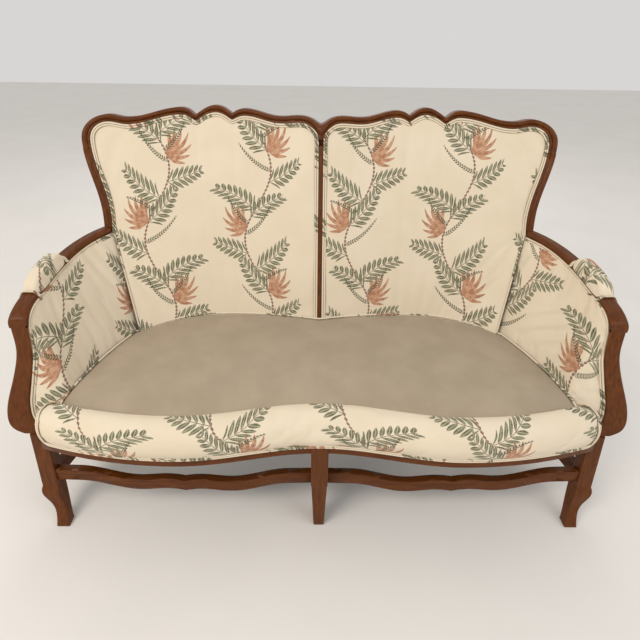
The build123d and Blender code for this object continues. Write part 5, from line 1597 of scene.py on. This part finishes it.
@dataclass
class WoodenFrame:
    """The wooden frame, shown as smooth copies of its solids, and the metal on it."""

    show: dict[str, Grain] = field(
        default_factory=lambda: {
            "crest_rail": Grain.ALONG_X,
            "back_post": Grain.ALONG_Z,
            "arm_rail": Grain.ALONG_Y,
            "arm_post": Grain.ALONG_Z,
            "front_leg": Grain.ALONG_Z,
            "front_stretcher": Grain.ALONG_X,
            "side_stretcher": Grain.ALONG_Y,
        }
    )
    show_single: dict[str, Grain] = field(
        default_factory=lambda: {
            "center_stile": Grain.ALONG_Z,
            "front_seat_rail": Grain.ALONG_X,
            "front_leg_center": Grain.ALONG_Z,
            "rear_leg_center": Grain.ALONG_Z,
            "middle_stretcher": Grain.ALONG_Y,
        }
    )
    hidden: dict[str, Grain] = field(
        default_factory=lambda: {
            "back_seat_rail": Grain.ALONG_X,
            "middle_seat_rail": Grain.ALONG_Y,
            "side_seat_rail_left": Grain.ALONG_Y,
            "side_seat_rail_right": Grain.ALONG_Y,
            "corner_blocks": Grain.ALONG_X,
            "dowels": Grain.ALONG_Z,
        }
    )
    metal: tuple[str, ...] = ("block_screws", "glides")

    def build(self, shop: Workshop) -> None:
        """Show every wooden and metal solid in its own finish."""
        for base, grain in self.show.items():
            for side in Side:
                node = f"{base}_{side.word}"
                shop.smooth_copy(node, f"wood_{node}", shop.show_wood[grain], "show_wood")
        for node, grain in self.show_single.items():
            shop.smooth_copy(node, f"wood_{node}", shop.show_wood[grain], "show_wood")
        for node, grain in self.hidden.items():
            shop.smooth_copy(node, f"inner_{node}", shop.frame_wood[grain], "frame_wood")
        for node in self.metal:
            shop.smooth_copy(node, f"metal_{node}", shop.steel, "steel")


@dataclass
class Studio:
    """The plain floor, the lights and the camera."""

    floor: Triple = (0.82, 0.79, 0.75)
    eye: Triple = (-0.0184, -1.1747, 1.1620)
    pitch: float = 31.68
    yaw: float = -0.911
    roll: float = 0.92
    lens: float = 28.90

    def build_floor(self) -> None:
        """Make a broad pale floor that takes the settee's shadow."""
        count = 9
        across, along = np.meshgrid(np.linspace(-8, 8, count), np.linspace(-8, 8, count))
        points = np.stack([across, along, 0 * across], axis=-1).reshape(-1, 3)
        mesh = bpy.data.meshes.new("floor")
        mesh.from_pydata(points.tolist(), [], grid_quads(count, count)[:, ::-1].tolist())
        ground = bpy.data.objects.new("floor", mesh)
        bpy.context.scene.collection.objects.link(ground)
        graph = Graph("pale_floor")
        mottle = graph.noise(graph.node("TexCoord").outputs["Object"], 3.0, 4.0)
        tone = graph.mix(graph.span(mottle, 0.3, 0.7), self.floor, tuple(0.97 * part for part in self.floor))
        mesh.materials.append(graph.surface(Base_Color=tone, Roughness=0.9, Specular_IOR_Level=0.1))

    def lamp(
        self, name: str, place: Triple, turn: Triple, size: float, power: float, colour: Triple
    ) -> None:
        """Hang one square soft light, turned by Euler angles in degrees."""
        data = bpy.data.lights.new(name, "AREA")
        data.size = size
        data.energy = power
        data.color = colour
        light = bpy.data.objects.new(name, data)
        light.location = place
        light.rotation_euler = [math.radians(angle) for angle in turn]
        bpy.context.scene.collection.objects.link(light)

    def build_lights(self) -> None:
        """Hang a warm key from the left, a cool fill from the right and an even sky."""
        self.lamp("key", (-2.0, -2.2, 2.8), (47, 0, -42), 1.6, 60.0, (1.0, 0.92, 0.82))
        self.lamp("fill", (2.4, -1.8, 2.2), (52, 0, 53), 2.2, 20.0, (0.95, 0.97, 1.0))
        self.lamp("rear", (0.0, 2.6, 2.6), (-45, 0, 0), 2.4, 22.0, (1.0, 0.98, 0.95))
        world = bpy.data.worlds.new("even_sky")
        world.use_nodes = True
        sky = world.node_tree.nodes["Background"]
        sky.inputs["Color"].default_value = (0.97, 0.96, 0.95, 1.0)
        sky.inputs["Strength"].default_value = 0.70
        bpy.context.scene.world = world

    def build_camera(self) -> None:
        """Set the camera at the photograph's viewing angle."""
        data = bpy.data.cameras.new("camera")
        data.lens = self.lens
        data.sensor_width = 36.0
        camera = bpy.data.objects.new("camera", data)
        tilt = Euler((math.radians(90 - self.pitch), 0, math.radians(self.yaw))).to_matrix()
        camera.rotation_euler = (tilt @ Matrix.Rotation(math.radians(self.roll), 3, "Z")).to_euler()
        camera.location = self.eye
        bpy.context.scene.collection.objects.link(camera)
        bpy.context.scene.camera = camera
        bpy.context.scene.view_settings.view_transform = "Standard"

    def build(self) -> None:
        """Set up floor, lights and camera."""
        self.build_floor()
        self.build_lights()
        self.build_camera()


def main() -> None:
    """Build the settee piece by piece, then its studio."""
    logging.basicConfig(level=logging.INFO, format="%(name)s: %(message)s")
    Studio().build()
    shop = Workshop()
    WoodenFrame().build(shop)
    covers = OutsideCovers()
    for side in Side:
        InsideBack(side).build(shop)
        InsideArm(side).build(shop)
        ArmPad(side).build(shop)
        covers.build_back(shop, side)
        covers.build_arm(shop, side)
    covers.build_lining(shop)
    FrontRoll().build(shop)
    SeatDeck().build(shop)


if __name__ == "__main__":
    main()
